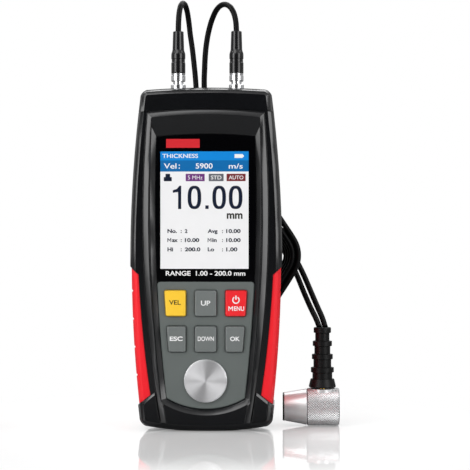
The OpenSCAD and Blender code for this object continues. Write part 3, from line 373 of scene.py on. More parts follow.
# Leads: each leaves its plug's boot, is folded into the hank and goes to the probe's boot
LEAD_D = 2.7
LEFT_TOP = [
    (-13.8, 1, 187.9), (-13.7, 1.4, 193), (-13.4, 3.5, 197.9), (-12.8, 7, 201.4), (-11.9, 11, 202.6),
    (-10.9, 15, 200.9), (-10, 18, 195.6), (-9.3, 19.4, 189), (-8.3, 19.7, 182), (-7.5, 19.7, 175),
    (-6.8, 19.7, 168), (-6.2, 19.7, 161), (-4.9, 19.7, 155), (-1.6, 19.7, 149), (2.4, 19.7, 143),
    (6.3, 19.7, 137), (10.3, 19.7, 131), (14.2, 19.7, 125), (18.2, 19.7, 119), (22.1, 19.7, 113),
    (26, 19.7, 107), (30, 19.7, 101), (33.9, 19.7, 95),
]
RIGHT_TOP = [
    (13.8, 1, 187.9), (13.4, 1.4, 193), (12, 3.5, 197.8), (9.6, 7, 201), (6.9, 10.5, 201.9),
    (4.2, 14, 200.5), (1.8, 17, 196.6), (-0.1, 19, 191), (-1.3, 19.7, 185), (-2, 19.7, 178.5),
    (-2.3, 19.7, 172), (-2.5, 19.7, 166), (-2.2, 19.7, 160), (-0.9, 19.7, 154.5), (1.8, 19.7, 149),
    (5.7, 19.7, 143), (9.7, 19.7, 137), (13.6, 19.7, 131), (17.6, 19.7, 125), (21.5, 19.7, 119),
    (25.4, 19.7, 113), (29.4, 19.7, 107), (33.3, 19.7, 101), (37.3, 19.7, 95),
]
RIGHT_TAIL = [
    (37.7, 30.9, 86.6), (40.8, 30.9, 81.3), (43.6, 30.9, 76.5), (46.1, 30.1, 71.4), (48.4, 27.7, 66.1),
    (50.6, 24.1, 60.9), (52.7, 19.5, 56), (54.8, 14.3, 51.2), (56.1, 10, 47),
]
LEFT_TAIL = [
    (35.3, 30.9, 85.2), (38.2, 30.9, 80), (40.9, 30.9, 75.2), (43.2, 30.4, 70.2), (45.3, 28.2, 65),
    (47.5, 24.6, 59.8), (49.7, 19.9, 55), (51.8, 14.6, 50.8), (53.3, 10, 47),
]
HANK_TOP = Vector((28.2, 81.3))
HANK_LOW = Vector((-12.2, 16.7))
HANK_FRONT = 19.7
HANK_LAYER = 2.8
HANK_SHRINK = 1.05
HANK_TURNS = 4
ENTRY_ANGLE = math.radians(33.3)
EXIT_ANGLE = math.radians(29)
FOLD_STEP = math.radians(11.25)
RUN_STEPS = 4
LEFT_FOLD_R = 12.3
RIGHT_FOLD_R = 15.1
TUBE_STEPS = 4


def fold_stations(centre, first, last, share):
    """Places along a fold: its centre, an angle, and the share of the turn's step back already taken."""
    steps = round(abs(last - first) / FOLD_STEP)
    return [(centre, first + (last - first) * k / steps, share) for k in range(steps + 1)]


def run_stations(start, end, angle, share):
    """Places along a straight run, without its ends. Half of the turn's step is taken on the way,
    slowly at both ends."""
    parts = [k / RUN_STEPS for k in range(1, RUN_STEPS)]
    return [(start.lerp(end, part), angle, share + part * part * (1.5 - part)) for part in parts]


def turn_stations(end_angle):
    """One turn in the hank, clockwise from where a lead comes in. Its folds are true arcs."""
    run = HANK_TOP - HANK_LOW
    right = -math.atan2(run.x, run.y)
    left = right - math.pi
    return (
        fold_stations(HANK_TOP, ENTRY_ANGLE, right, 0) + run_stations(HANK_TOP, HANK_LOW, right, 0)
        + fold_stations(HANK_LOW, right, left, 0.5) + run_stations(HANK_LOW, HANK_TOP, left, 0.5)
        + fold_stations(HANK_TOP, left, end_angle - 2 * math.pi, 1)
    )


def hank_points(radius):
    """All the turns of a lead in the hank: each ends one layer further back and a little further in."""
    points = []
    for number in range(HANK_TURNS):
        end_angle = EXIT_ANGLE if number == HANK_TURNS - 1 else ENTRY_ANGLE
        for centre, angle, share in turn_stations(end_angle)[:-1]:
            turned = number + share
            p = centre + (radius - HANK_SHRINK * turned) * Vector((math.cos(angle), math.sin(angle)))
            points.append((p.x, HANK_FRONT + HANK_LAYER * turned, p.y))
    return points


def lead(name, top, radius, tail):
    """A lead as one curve."""
    points = [mm(*p) for p in top + hank_points(radius) + tail]
    curve = bpy.data.curves.new(name, "CURVE")
    curve.dimensions = "3D"
    curve.bevel_depth = LEAD_D / 2 * MM
    curve.bevel_resolution = TUBE_STEPS
    curve.use_fill_caps = True
    curve.resolution_u = TUBE_STEPS
    spline = curve.splines.new("BEZIER")
    spline.bezier_points.add(len(points) - 1)
    for knot, p in zip(spline.bezier_points, points):
        knot.co = p
        knot.handle_left_type = "AUTO"
        knot.handle_right_type = "AUTO"
    curve.materials.append(lead_jacket)
    made = bpy.data.objects.new(name, curve)
    scene.collection.objects.link(made)
    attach(made, "gauge")
    return made


left_lead = lead("left_lead", LEFT_TOP, LEFT_FOLD_R, LEFT_TAIL)
right_lead = lead("right_lead", RIGHT_TOP, RIGHT_FOLD_R, RIGHT_TAIL)
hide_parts("lead_left_top", "lead_left_tail")
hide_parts("lead_right_top", "lead_right_tail", "lead_hank")


# CAD pieces keep their form and take a finish and softened edges
FINISHES = {
    "front_shell": black_plastic, "rear_shell": black_plastic, "top_cap": black_plastic,
    "battery_door": black_plastic, "grip_left": red_rubber, "grip_right": red_rubber,
    "display_window": black_window, "keypad_panel": grey_panel, "key_vel": yellow_key,
    "key_up": grey_key, "key_menu": red_key, "key_esc": grey_key, "key_down": grey_key,
    "key_ok": grey_key, "test_disc": spun_steel, "socket_left": bright_metal,
    "socket_right": bright_metal, "socket_nuts": bright_metal, "plug_left": bright_metal,
    "plug_right": bright_metal, "plug_boot_left": black_rubber, "plug_boot_right": black_rubber,
    "hank_tie": tie_fabric, "probe_boot": soft_rubber, "probe_body": knurled_metal,
    "probe_nose": polished_metal, "probe_face": black_rubber, "display_module": display_panel,
    "display_frame": white_plastic, "key_switches": dark_plastic, "main_board": board_laminate,
    "board_parts": dark_plastic, "board_screws": plain_steel, "socket_wires": wire_brass,
    "probe_crystals": delay_resin, "probe_barrier": dark_plastic, "probe_backing": dark_plastic,
    "batteries": cell_sleeve, "battery_springs": plain_steel, "battery_contacts": plain_steel,
    "housing_screws": plain_steel,
}
SOFT_EDGES = {
    "front_shell": 0.3, "rear_shell": 0.35, "top_cap": 0.3, "battery_door": 0.25, "grip_left": 0.4,
    "grip_right": 0.4, "keypad_panel": 0.15, "display_window": 0.08, "key_vel": 0.4, "key_up": 0.4,
    "key_menu": 0.4, "key_esc": 0.4, "key_down": 0.4, "key_ok": 0.4,
}


WELD_GAP = 0.002
FLAT_ANGLE = math.radians(0.4)
SHARP_ANGLE = math.radians(24)
EDGE_SEGMENTS = 2


def soften(piece, width_mm, clamped):
    """Rounds the sharp edges of a CAD piece. Clamped edges stop short of their neighbours."""
    weld = piece.modifiers.new("weld", "WELD")
    weld.merge_threshold = WELD_GAP * MM
    flat = piece.modifiers.new("flat", "DECIMATE")
    flat.decimate_type = "DISSOLVE"
    flat.angle_limit = FLAT_ANGLE
    edge = piece.modifiers.new("edge", "BEVEL")
    edge.width = width_mm * MM
    edge.segments = EDGE_SEGMENTS
    edge.limit_method = "ANGLE"
    edge.angle_limit = SHARP_ANGLE
    edge.use_clamp_overlap = clamped
    edge.harden_normals = True


for node_name, material in FINISHES.items():
    piece = nodes[node_name]
    for slot in piece.material_slots:
        slot.material = material
    if node_name in SOFT_EDGES:
        soften(piece, SOFT_EDGES[node_name], not node_name.startswith("key_"))


# Printed marks, drawn as thin plates on the face that carries them
INK_T = 0.03
LETTER_STEPS = 6
SAME_PLACE = 1e-7
M_DIP = 0.25
M_SLANT = 1.6


def ink(name, colour, roughness=0.4, glow=0.0):
    """Printed ink or a lit display colour, with a faint unevenness."""
    made = moulded(name, colour, tuple(min(255, c + 4) for c in colour), roughness, 0.06, 2500, 0.05)
    if glow:
        shader = made.node_tree.nodes["Principled BSDF"]
        shader.inputs["Emission Color"].default_value = srgb(*colour)
        shader.inputs["Emission Strength"].default_value = glow
    return made


LIT = 0.06
lit_white = ink("lit_white", (232, 232, 233), 0.3, LIT)
lit_blue = ink("lit_blue", (0, 128, 208), 0.3, LIT)
lit_deep_blue = ink("lit_deep_blue", (0, 100, 164), 0.3, LIT)
lit_navy = ink("lit_navy", (8, 20, 44), 0.3)
lit_grey = ink("lit_grey", (92, 94, 100), 0.3, LIT)
lit_purple = ink("lit_purple", (104, 44, 116), 0.3, LIT)
lit_maroon = ink("lit_maroon", (112, 28, 34), 0.3, LIT)
badge_red = ink("badge_red", (206, 30, 40), 0.35)
white_print = ink("white_print", (236, 236, 236), 0.4)
black_print = ink("black_print", (26, 24, 18), 0.4)


def put(name, mesh, material, body):
    """Puts a finished mesh in the scene, on its body."""
    mesh.materials.clear()
    mesh.materials.append(material)
    made = bpy.data.objects.new(name, mesh)
    scene.collection.objects.link(made)
    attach(made, body)
    return made


def plates(outlines, face_y, thickness):
    """Thin plates facing the front, from outlines of x and z listed anticlockwise."""
    made = bmesh.new()
    for outline in outlines:
        front = [made.verts.new(mm(x, face_y - thickness, z)) for x, z in outline]
        back = [made.verts.new(mm(x, face_y, z)) for x, z in outline]
        made.faces.new(front)
        made.faces.new(back[::-1])
        count = len(outline)
        for i in range(count):
            j = (i + 1) % count
            made.faces.new((front[i], back[i], back[j], front[j]))
    bmesh.ops.recalc_face_normals(made, faces=made.faces)
    mesh = bpy.data.meshes.new("plates")
    made.to_mesh(mesh)
    made.free()
    return mesh


def box(x0, z0, x1, z1):
    """The outline of an upright rectangle."""
    return [(x0, z0), (x1, z0), (x1, z1), (x0, z1)]


def ring(x, z, outer, inner, first=0.0, last=360.0, steps=48, square=2.0):
    """Short plates round an oval ring: outer and inner are half-width and half-height.
    A square above 2 makes the oval straighter along its sides."""
    angles = [math.radians(first + (last - first) * k / steps) for k in range(steps + 1)]

    def along(value):
        return math.copysign(abs(value) ** (2 / square), value)

    def point(size, a):
        return x + size[0] * along(math.cos(a)), z + size[1] * along(math.sin(a))

    return [
        [point(outer, a), point(outer, b), point(inner, b), point(inner, a)]
        for a, b in zip(angles, angles[1:])
    ]


def letter_m(x0, z0, x1, z1, stroke):
    """A bold capital M as one outline."""
    mid = (x0 + x1) / 2
    dip = z0 + M_DIP * (z1 - z0)
    drop = M_SLANT * stroke
    left, right = x0 + stroke, x1 - stroke
    return [
        (x0, z0), (left, z0), (left, z1 - drop), (mid, dip), (right, z1 - drop), (right, z0),
        (x1, z0), (x1, z1), (right, z1), (mid, dip + drop), (left, z1), (x0, z1),
    ]


def written(words, face_y, thickness, weight=0.0):
    """Words as one mesh. Each is its text with the box that it fills: x0, z0, x1, z1.
    A word with a capital M stays light, because the font's own M fills in when made bolder."""
    joined = bmesh.new()
    for text, (x0, z0, x1, z1) in words:
        curve = bpy.data.curves.new("word", "FONT")
        curve.body = text
        curve.size = 1
        curve.offset = 0 if "M" in text else weight
        curve.resolution_u = LETTER_STEPS
        holder = bpy.data.objects.new("word", curve)
        scene.collection.objects.link(holder)
        bpy.context.view_layer.update()
        flat = bpy.data.meshes.new_from_object(holder.evaluated_get(bpy.context.evaluated_depsgraph_get()))
        xs = [v.co.x for v in flat.vertices]
        ys = [v.co.y for v in flat.vertices]
        wide = (x1 - x0) / (max(xs) - min(xs))
        tall = (z1 - z0) / (max(ys) - min(ys))
        for v in flat.vertices:
            v.co = mm(
                x0 + (v.co.x - min(xs)) * wide,
                face_y - thickness,
                z0 + (v.co.y - min(ys)) * tall,
            )
        joined.from_mesh(flat)
        bpy.data.objects.remove(holder)
        bpy.data.meshes.remove(flat)
    bmesh.ops.remove_doubles(joined, verts=joined.verts, dist=SAME_PLACE)
    walls = bmesh.ops.extrude_face_region(joined, geom=joined.faces[:])
    moved = [g for g in walls["geom"] if isinstance(g, bmesh.types.BMVert)]
    bmesh.ops.translate(joined, verts=moved, vec=mm(0, thickness, 0))
    bmesh.ops.recalc_face_normals(joined, faces=joined.faces)
    for face in joined.faces:
        face.smooth = False
    mesh = bpy.data.meshes.new("words")
    joined.to_mesh(mesh)
    joined.free()
    return mesh


# Display: a white field with two bands, tags, a large reading and small results
WINDOW_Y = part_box("display_window")[0].y / MM
LCD = (-21.1, 75.5, 19.9, 130.0)
BAND_1 = 125.85
BAND_2 = 120.65
LAYER_Y = WINDOW_Y - INK_T
BADGE = (-18.4, 131.7, -2.8, 135.8)


def display_mark(name, mesh, material):
    """A mark on the display window, which stays with the gauge."""
    put(name, mesh, material, "gauge")


FIELDS = [
    ("display_field", (LCD[0], LCD[1], LCD[2], BAND_2), lit_white),
    ("display_title_band", (LCD[0], BAND_1, LCD[2], LCD[3]), lit_blue),
    ("display_speed_band", (LCD[0], BAND_2, LCD[2], BAND_1), lit_deep_blue),
    ("badge_bar", BADGE, badge_red),
]
for field_name, corners, material in FIELDS:
    display_mark(field_name, plates([box(*corners)], WINDOW_Y, INK_T), material)

TAG_Z = (116.2, 119.6)
TAG_INSET = (1, 0.8)
TAGS = {
    "tag_frequency": (-9.3, -0.5, lit_purple, "5 MHz"),
    "tag_mode": (1.4, 8.3, lit_grey, "STD"),
    "tag_scan": (9.7, 18.5, lit_maroon, "AUTO"),
}
tag_words = []
for tag_name, (x0, x1, material, text) in TAGS.items():
    display_mark(tag_name, plates([box(x0, TAG_Z[0], x1, TAG_Z[1])], LAYER_Y, INK_T), material)
    inner = (x0 + TAG_INSET[0], TAG_Z[0] + TAG_INSET[1], x1 - TAG_INSET[0], TAG_Z[1] - TAG_INSET[1])
    tag_words.append((text, inner))
display_mark("tag_words", written(tag_words, LAYER_Y - INK_T, INK_T, 0.01), white_print)

BAND_WORDS = [
    ("THICKNESS", (-20.2, 127.0, -3.6, 128.9)),
    ("Vel", (-19.5, 122.0, -13.6, 124.5)),
    (":", (-12.6, 122.0, -12.0, 123.9)),
    ("5900", (-4.7, 122.0, 3.2, 124.5)),
    ("m/s", (10.7, 122.0, 17.2, 124.4)),
]
display_mark("band_words", written(BAND_WORDS, LAYER_Y, INK_T, 0.012), white_print)
BATTERY_BOXES = [box(13.4, 126.95, 17.2, 128.75), box(17.2, 127.4, 17.7, 128.3)]
display_mark("charge_mark", plates(BATTERY_BOXES, LAYER_Y, INK_T), white_print)
PROBE_BOXES = [box(-19.5, 116.2, -15.8, 118.1), box(-18.7, 118.1, -16.6, 119.6)]
display_mark("probe_mark", plates(PROBE_BOXES, LAYER_Y, INK_T), lit_navy)

READING_Z = (103.25, 114.05)
ZERO_W = 6.3
ZERO_STROKE = (1.7, 1.35)
ZERO_STEPS = 64
ZERO_SQUARE = 2.6
READING_POINT = (-0.2, 103.3, 1.35, 104.95)


def reading_zero(x):
    """A narrow nought whose left edge is at x."""
    half = ZERO_W / 2
    mid_z = (READING_Z[0] + READING_Z[1]) / 2
    tall = (READING_Z[1] - READING_Z[0]) / 2
    inner = (half - ZERO_STROKE[0], tall - ZERO_STROKE[1])
    return ring(x + half, mid_z, (half, tall), inner, steps=ZERO_STEPS, square=ZERO_SQUARE)


def reading_one(x):
    """The figure one, with its flag to the left."""
    low, high = READING_Z
    left, right = x + 2.45, x + 3.9
    return [[
        (left, low), (right, low), (right, high), (x + 3.05, high), (x + 1.9, high - 1.45),
        (x, high - 2.05), (x, high - 3.25), (left, high - 2.85),
    ]]


READING = (
    reading_one(-15.3) + reading_zero(-8.4) + [box(*READING_POINT)]
    + reading_zero(3.1) + reading_zero(10.75)
)
display_mark("reading_figures", plates(READING, LAYER_Y, INK_T), lit_navy)
display_mark("reading_unit", written([("mm", (9.8, 98.7, 17.1, 101.3))], LAYER_Y, INK_T, 0.03), black_print)

RESULT_X = ((-17.8, -9.7), (0.9, 9.5))
RESULT_ROWS = [
    (92.1, ("No.", 4.4), ("2", 1.2), ("Avg", 4.6), ("10.00", 6.7)),
    (87.9, ("Max", 4.8), ("10.00", 6.7), ("Min", 4.2), ("10.00", 6.7)),
    (83.6, ("Hi", 2.6), ("200.0", 7.2), ("Lo", 3.0), ("1.00", 5.2)),
]
RESULT_CAP = 1.85
RESULT_M_W = 1.75
RESULT_M_STROKE = 0.32
RESULT_M_GAP = 0.4
TAIL_DROP = 0.5
COLON_X = (-1.9, -1.5)
COLON_H = 1.4
SMALL_LETTERS = {"Max": 0.72, "Min": 1}
result_words = []
result_ms = []
for low, *cells in RESULT_ROWS:
    for (text, width), x in zip(cells, (x for pair in RESULT_X for x in pair)):
        high = low + RESULT_CAP
        if text in SMALL_LETTERS:
            result_ms.append(letter_m(x, low, x + RESULT_M_W, high, RESULT_M_STROKE))
            high = low + SMALL_LETTERS[text] * RESULT_CAP
            result_words.append((text[1:], (x + RESULT_M_W + RESULT_M_GAP, low, x + width, high)))
        else:
            result_words.append((text, (x, low - TAIL_DROP * ("g" in text), x + width, high)))
    for pair in RESULT_X:
        result_words.append((":", (pair[1] + COLON_X[0], low, pair[1] + COLON_X[1], low + COLON_H)))
display_mark("result_words", written(result_words, LAYER_Y, INK_T, 0.034), lit_navy)
display_mark("result_ms", plates(result_ms, LAYER_Y, INK_T), lit_navy)
STRIP_WORDS = [("RANGE", (-18.6, 72.3, -7.0, 74.5)), ("1.00 - 200.0 mm", (-4.6, 72.3, 18.4, 74.5))]
display_mark("range_words", written(STRIP_WORDS, WINDOW_Y, INK_T, 0.02), white_print)

# Key legends ride on their keys
KEY_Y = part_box("key_up")[0].y / MM
LEGENDS = {
    "vel": ("VEL", (-16.9, 58.9, -11.5, 61.0), black_print, 0.012),
    "up": ("UP", (-2.1, 58.5, 2.2, 60.8), white_print, 0.018),
    "menu": ("ENU", (13.2, 56.1, 17.9, 58.2), white_print, 0.02),
    "esc": ("ESC", (-16.6, 42.1, -10.6, 44.2), white_print, 0.03),
    "down": ("DOWN", (-3.6, 42.1, 3.9, 44.2), white_print, 0.016),
    "ok": ("OK", (11.4, 42.1, 15.9, 44.2), white_print, 0.03),
}
for key, (text, where, material, weight) in LEGENDS.items():
    mesh = written([(text, where)], KEY_Y, INK_T, weight)
    put("legend_" + key, mesh, material, key + "_key")

MENU_M = letter_m(10.6, 56.1, 12.75, 58.2, 0.4)
put("legend_menu_m", plates([MENU_M], KEY_Y, INK_T), white_print, "menu_key")
POWER_X, POWER_Z = 14.1, 61.1
POWER_R = 1.75
POWER_INNER_R = 1.2
POWER_ARC = (122, 418)
POWER_ARC_STEPS = 30
POWER_BAR_HALF = 0.3
POWER_BAR_Z = (0.2, 2.1)
power_marks = ring(
    POWER_X, POWER_Z, (POWER_R, POWER_R), (POWER_INNER_R, POWER_INNER_R), *POWER_ARC, POWER_ARC_STEPS
)
power_marks.append(box(
    POWER_X - POWER_BAR_HALF, POWER_Z + POWER_BAR_Z[0], POWER_X + POWER_BAR_HALF, POWER_Z + POWER_BAR_Z[1]
))
put("legend_power", plates(power_marks, KEY_Y, INK_T), white_print, "menu_key")


# Knurled probe housing, with diamonds cut into its skin
KNURL_LOW, KNURL_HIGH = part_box("probe_body")
KNURL_R = (KNURL_HIGH.y - KNURL_LOW.y) / 2
KNURL_AXIS = Vector((0, (KNURL_HIGH.y + KNURL_LOW.y) / 2, KNURL_LOW.z + KNURL_R))
KNURL_TEETH = 46
KNURL_ROWS = 12
KNURL_CUT = 0.4 * MM
KNURL_EDGE = 0.6 * MM
KNURL_FINE = 6
# Painted shade at the bottom of the knurl's cuts, and the shares of the cut's depth where that shade is
# full and where it ends
PAINTED_GROOVE_SHADE = (136, 136, 138)
GROOVE_SHARES = (0.95, 0.65)


def knurl_depth(around, along):
    """How deep the skin is cut at a place counted in teeth round and rows along."""
    def ridge(value):
        return abs(2 * (value % 1) - 1)

    return KNURL_CUT * max(1 - ridge(around + along), 1 - ridge(around - along))


def knurled_housing():
    """The probe's housing along X, with plain bevelled ends."""
    made = bmesh.new()
    around = KNURL_TEETH * KNURL_FINE
    along = KNURL_ROWS * KNURL_FINE
    length = KNURL_HIGH.x - KNURL_LOW.x
    rings = []

    def add_ring(x, radius_at):
        circle = []
        for i in range(around):
            a = 2 * math.pi * i / around
            r = radius_at(i / KNURL_FINE)
            circle.append(made.verts.new(KNURL_AXIS + Vector((x, r * math.cos(a), r * math.sin(a)))))
        rings.append(circle)

    add_ring(KNURL_LOW.x, lambda t: KNURL_R - KNURL_EDGE)
    for j in range(along + 1):
        row = j / KNURL_FINE
        x = KNURL_LOW.x + KNURL_EDGE + (length - 2 * KNURL_EDGE) * j / along
        add_ring(x, lambda t: KNURL_R - knurl_depth(t, row))
    add_ring(KNURL_HIGH.x, lambda t: KNURL_R - KNURL_EDGE)
    for a, b in zip(rings, rings[1:]):
        for i in range(around):
            j = (i + 1) % around
            made.faces.new((a[i], a[j], b[j], b[i]))
    made.faces.new(rings[0][::-1])
    made.faces.new(rings[-1])
    bmesh.ops.recalc_face_normals(made, faces=made.faces)
    mesh = bpy.data.meshes.new("probe_knurl")
    made.to_mesh(mesh)
    made.free()
    return mesh


def painted_groove_shade(made):
    """Paints shade into a knurled finish at the bottom of its cuts, where less light falls."""
    tree = made.node_tree
    shader = tree.nodes["Principled BSDF"]
    place = tree.nodes["Texture Coordinate"].outputs["Object"]
    skin = shader.inputs["Base Color"].links[0].from_socket
    depth = tree.nodes.new("ShaderNodeMapRange")
    depth.inputs["From Min"].default_value = KNURL_R - GROOVE_SHARES[0] * KNURL_CUT
    depth.inputs["From Max"].default_value = KNURL_R - GROOVE_SHARES[1] * KNURL_CUT
    tree.links.new(axis_distance(tree, place, KNURL_AXIS, (0, 1, 1)), depth.inputs["Value"])
    mix = tree.nodes.new("ShaderNodeMix")
    mix.data_type = "RGBA"
    mix.inputs["A"].default_value = srgb(*PAINTED_GROOVE_SHADE)
    tree.links.new(depth.outputs["Result"], mix.inputs["Factor"])
    tree.links.new(skin, mix.inputs["B"])
    tree.links.new(mix.outputs["Result"], shader.inputs["Base Color"])


# Painted shade: the knurled finish is darker at the bottom of its cuts
painted_groove_shade(knurled_metal)
probe_knurl = put("probe_knurl", knurled_housing(), knurled_metal, "gauge")
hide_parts("probe_body")


SHARP_TURN = math.radians(25)


def turned_mesh(name, profile, steps):
    """A closed solid of revolution about Y from [radius, y] pairs in metres, first and last on the axis."""
    made = bmesh.new()
    rings = []
    for radius, y in profile:
        if radius == 0:
            rings.append([made.verts.new((0, y, 0))])
        else:
            angles = [2 * math.pi * k / steps for k in range(steps)]
            rings.append([made.verts.new((radius * math.cos(a), y, radius * math.sin(a))) for a in angles])
    for low, high in zip(rings, rings[1:]):
        for k in range(steps):
            j = (k + 1) % steps
            if len(low) == 1:
                made.faces.new((low[0], high[j], high[k]))
            elif len(high) == 1:
                made.faces.new((low[k], low[j], high[0]))
            else:
                made.faces.new((low[k], low[j], high[j], high[k]))
    bmesh.ops.recalc_face_normals(made, faces=made.faces)
    mesh = bpy.data.meshes.new(name)
    made.to_mesh(mesh)
    made.free()
    mesh.shade_smooth()
    mesh.set_sharp_from_angle(angle=SHARP_TURN)
    return mesh


# Test disc, spun on its face, so its gloss spreads from its middle
DISC_EDGE = 0.35 * MM
DISC_RINGS = [0.2, 0.4, 0.6, 0.8, 0.95]
DISC_STEPS = 192
RIM_STEP = 15
QUARTER_TURN = 0.25


def spun_disc():
    """The disc about Y, with a rounded front edge."""
    low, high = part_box("test_disc")
    radius = (high.x - low.x) / 2
    flat = radius - DISC_EDGE
    front = [(0, low.y)] + [(flat * part, low.y) for part in DISC_RINGS]
    rim = [
        (flat + DISC_EDGE * math.sin(a), low.y + DISC_EDGE - DISC_EDGE * math.cos(a))
        for a in (math.radians(degrees) for degrees in range(0, 91, RIM_STEP))
    ]
    mesh = turned_mesh("disc_turned", front + rim + [(radius, high.y), (0, high.y)], DISC_STEPS)
    mesh.transform(Matrix.Translation(((low.x + high.x) / 2, 0, (low.z + high.z) / 2)))
    return mesh


def turn_gloss(made, axis):
    """Spreads a finish's gloss outwards from an axis through the middle of its piece."""
    tree = made.node_tree
    shader = tree.nodes["Principled BSDF"]
    round_axis = tree.nodes.new("ShaderNodeTangent")
    round_axis.direction_type = "RADIAL"
    round_axis.axis = axis
    tree.links.new(round_axis.outputs["Tangent"], shader.inputs["Tangent"])
    shader.inputs["Anisotropic Rotation"].default_value = QUARTER_TURN


turn_gloss(spun_steel, "Y")
disc = put("disc_turned", spun_disc(), spun_steel, "gauge")
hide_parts("test_disc")

# Steel boss on the knurled housing, and the brass stem that rises from it into the probe's boot
KNURL_TOP = KNURL_LOW.z + 2 * KNURL_R
BOSS_D = 11 * MM
BOSS_SUNK = 0.4 * MM
STEM_D = 4.2 * MM
STEM_PROUD = 2.9 * MM
ROD_STEPS = 64


def upright_rod(name, diameter, top):
    """A round rod under the probe's boot, from inside the knurled housing up to a height."""
    boot_low, boot_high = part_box("probe_boot")
    foot = KNURL_HIGH.z - 3 * STEM_PROUD
    radius = diameter / 2
    mesh = turned_mesh(name, [(0, foot), (radius, foot), (radius, top), (0, top)], ROD_STEPS)
    mesh.transform(Matrix.Rotation(math.pi / 2, 4, "X"))
    mesh.transform(Matrix.Translation(((boot_low.x + boot_high.x) / 2, KNURL_AXIS.y, 0)))
    return mesh


boss = upright_rod("probe_boss", BOSS_D, KNURL_TOP - BOSS_SUNK)
stem = upright_rod("probe_stem", STEM_D, KNURL_TOP + STEM_PROUD)
put("probe_boss", boss, knurled_metal, "gauge")
put("probe_stem", stem, wire_brass, "gauge")


# Stage: a pale floor that mirrors a little, and soft lamps
FLOOR_HALF = 3
FLOOR_PARTS = 8
FLOOR_DROP = 0.02
FLOOR_ROUGHNESS = 0.03
FLOOR_SHADE = 0.88
MIRRORED_DIM = 0.6
FLOOR_GLOW = 0.16
MIRROR_LEVEL = 0.5
MIRROR_FADE = (0.1, 0.17)
WHITE_FADE = (0.09, 0.16)


def make_floor():
    """The floor mirrors the gauge near it, and is plain white further off."""
    made = bmesh.new()
    bmesh.ops.create_grid(made, x_segments=FLOOR_PARTS, y_segments=FLOOR_PARTS, size=FLOOR_HALF)
    mesh = bpy.data.meshes.new("studio_floor")
    made.to_mesh(mesh)
    made.free()
    floor = bpy.data.objects.new("studio_floor", mesh)
    scene.collection.objects.link(floor)
    floor.location = mm(0, 0, -FLOOR_DROP)
    floor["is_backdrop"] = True
    material, tree, shader, place = new_material("studio_floor")
    shader.inputs["Roughness"].default_value = FLOOR_ROUGHNESS
    shader.inputs["Emission Color"].default_value = (1, 1, 1, 1)
    path = tree.nodes.new("ShaderNodeLightPath")
    dim = math_node(tree, "MULTIPLY", path.outputs["Is Glossy Ray"], MIRRORED_DIM)
    tree.links.new(math_node(tree, "SUBTRACT", FLOOR_SHADE, dim), shader.inputs["Base Color"])
    glow = math_node(tree, "MULTIPLY", path.outputs["Is Camera Ray"], FLOOR_GLOW)
    tree.links.new(glow, shader.inputs["Emission Strength"])
    far = vector_node(tree, "LENGTH", place)

    def faded(reach, first, last):
        """A value that goes from first to last between the two distances of reach."""
        fade = tree.nodes.new("ShaderNodeMapRange")
        fade.interpolation_type = "SMOOTHSTEP"
        for label, value in zip(("From Min", "From Max", "To Min", "To Max"), (*reach, first, last)):
            fade.inputs[label].default_value = value
        tree.links.new(far, fade.inputs["Value"])
        return fade.outputs["Result"]

    tree.links.new(faded(MIRROR_FADE, MIRROR_LEVEL, 0), shader.inputs["Specular IOR Level"])
    white = tree.nodes.new("ShaderNodeEmission")
    mix = tree.nodes.new("ShaderNodeMixShader")
    seen = math_node(tree, "MULTIPLY", faded(WHITE_FADE, 0, 1), path.outputs["Is Camera Ray"])
    tree.links.new(seen, mix.inputs["Fac"])
    tree.links.new(shader.outputs["BSDF"], mix.inputs[1])
    tree.links.new(white.outputs["Emission"], mix.inputs[2])
    tree.links.new(mix.outputs["Shader"], tree.nodes["Material Output"].inputs["Surface"])
    mesh.materials.append(material)


# Lamps in metres and watts: where each is, its width and height, and its power
LAMP_AIM = Vector((0, 0, 0.08))
SOFTBOXES = {
    "key_box": ((-0.36, -0.62, 0.76), 0.6, 0.55, 2.6),
    "upper_left_box": ((-0.6, -0.02, 0.8), 0.35, 0.35, 1.6),
    "upper_right_box": ((0.6, -0.02, 0.8), 0.35, 0.35, 1.6),
    "left_strip": ((-0.63, -0.6, 0.2), 0.4, 0.8, 3.9),
    "right_strip": ((0.63, -0.6, 0.2), 0.4, 0.8, 3.4),
    "back_box": ((0, 0.55, 0.75), 0.9, 0.4, 3),
}


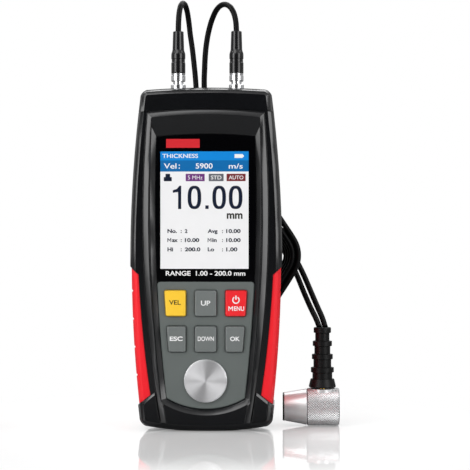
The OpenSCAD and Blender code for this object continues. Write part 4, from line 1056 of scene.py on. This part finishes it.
def softbox(name, at, width, height, power):
    """A soft lamp turned towards the gauge."""
    data = bpy.data.lights.new(name, "AREA")
    data.shape = "RECTANGLE"
    data.size = width
    data.size_y = height
    data.energy = power
    lamp = bpy.data.objects.new(name, data)
    lamp.location = at
    lamp.rotation_euler = (LAMP_AIM - Vector(at)).to_track_quat("-Z", "Y").to_euler()
    scene.collection.objects.link(lamp)


make_floor()
for lamp_name, lamp_sizes in SOFTBOXES.items():
    softbox(lamp_name, *lamp_sizes)

world = bpy.data.worlds.new("studio")
scene.world = world
world.use_nodes = True

# Shades that the room shows in reflections, from the camera at 0 to the backdrop at 1
ROOM_SHADES = [
    (0.015, 0.01), (0.15, 1), (0.31, 0.65), (0.37, 0.25), (0.44, 0.25), (0.5, 0.5), (0.72, 0.5), (0.8, 0.3),
    (0.975, 0.3), (0.99, 1),
]
ROOM_FILL = 0.12


def make_world(tree):
    """White behind the gauge, dark behind the camera, grey beside the backdrop, and a soft fill."""
    background = tree.nodes["Background"]
    path = tree.nodes.new("ShaderNodeLightPath")
    place = tree.nodes.new("ShaderNodeTexCoord").outputs["Generated"]
    split = tree.nodes.new("ShaderNodeSeparateXYZ")
    tree.links.new(place, split.inputs[0])
    spread = tree.nodes.new("ShaderNodeMapRange")
    spread.inputs["From Min"].default_value = -1
    tree.links.new(split.outputs["Y"], spread.inputs["Value"])
    backdrop = tree.nodes.new("ShaderNodeValToRGB")
    ends = backdrop.color_ramp.elements
    for mark in ROOM_SHADES[2:]:
        ends.new(mark[0])
    for stop, (place_y, level) in zip(ends, ROOM_SHADES):
        stop.position = place_y
        stop.color = (level, level, level, 1)
    tree.links.new(spread.outputs["Result"], backdrop.inputs["Fac"])
    glossy, through = path.outputs["Is Glossy Ray"], path.outputs["Is Transmission Ray"]
    mirrored = math_node(tree, "MAXIMUM", glossy, through)
    shown = math_node(tree, "MULTIPLY", mirrored, backdrop.outputs["Color"])
    fill = math_node(tree, "MULTIPLY", path.outputs["Is Diffuse Ray"], ROOM_FILL)
    both = math_node(tree, "ADD", shown, fill)
    strength = math_node(tree, "MAXIMUM", both, path.outputs["Is Camera Ray"])
    background.inputs["Color"].default_value = (1, 1, 1, 1)
    tree.links.new(strength, background.inputs["Strength"])


make_world(world.node_tree)
scene.view_settings.view_transform = "Standard"

low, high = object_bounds()
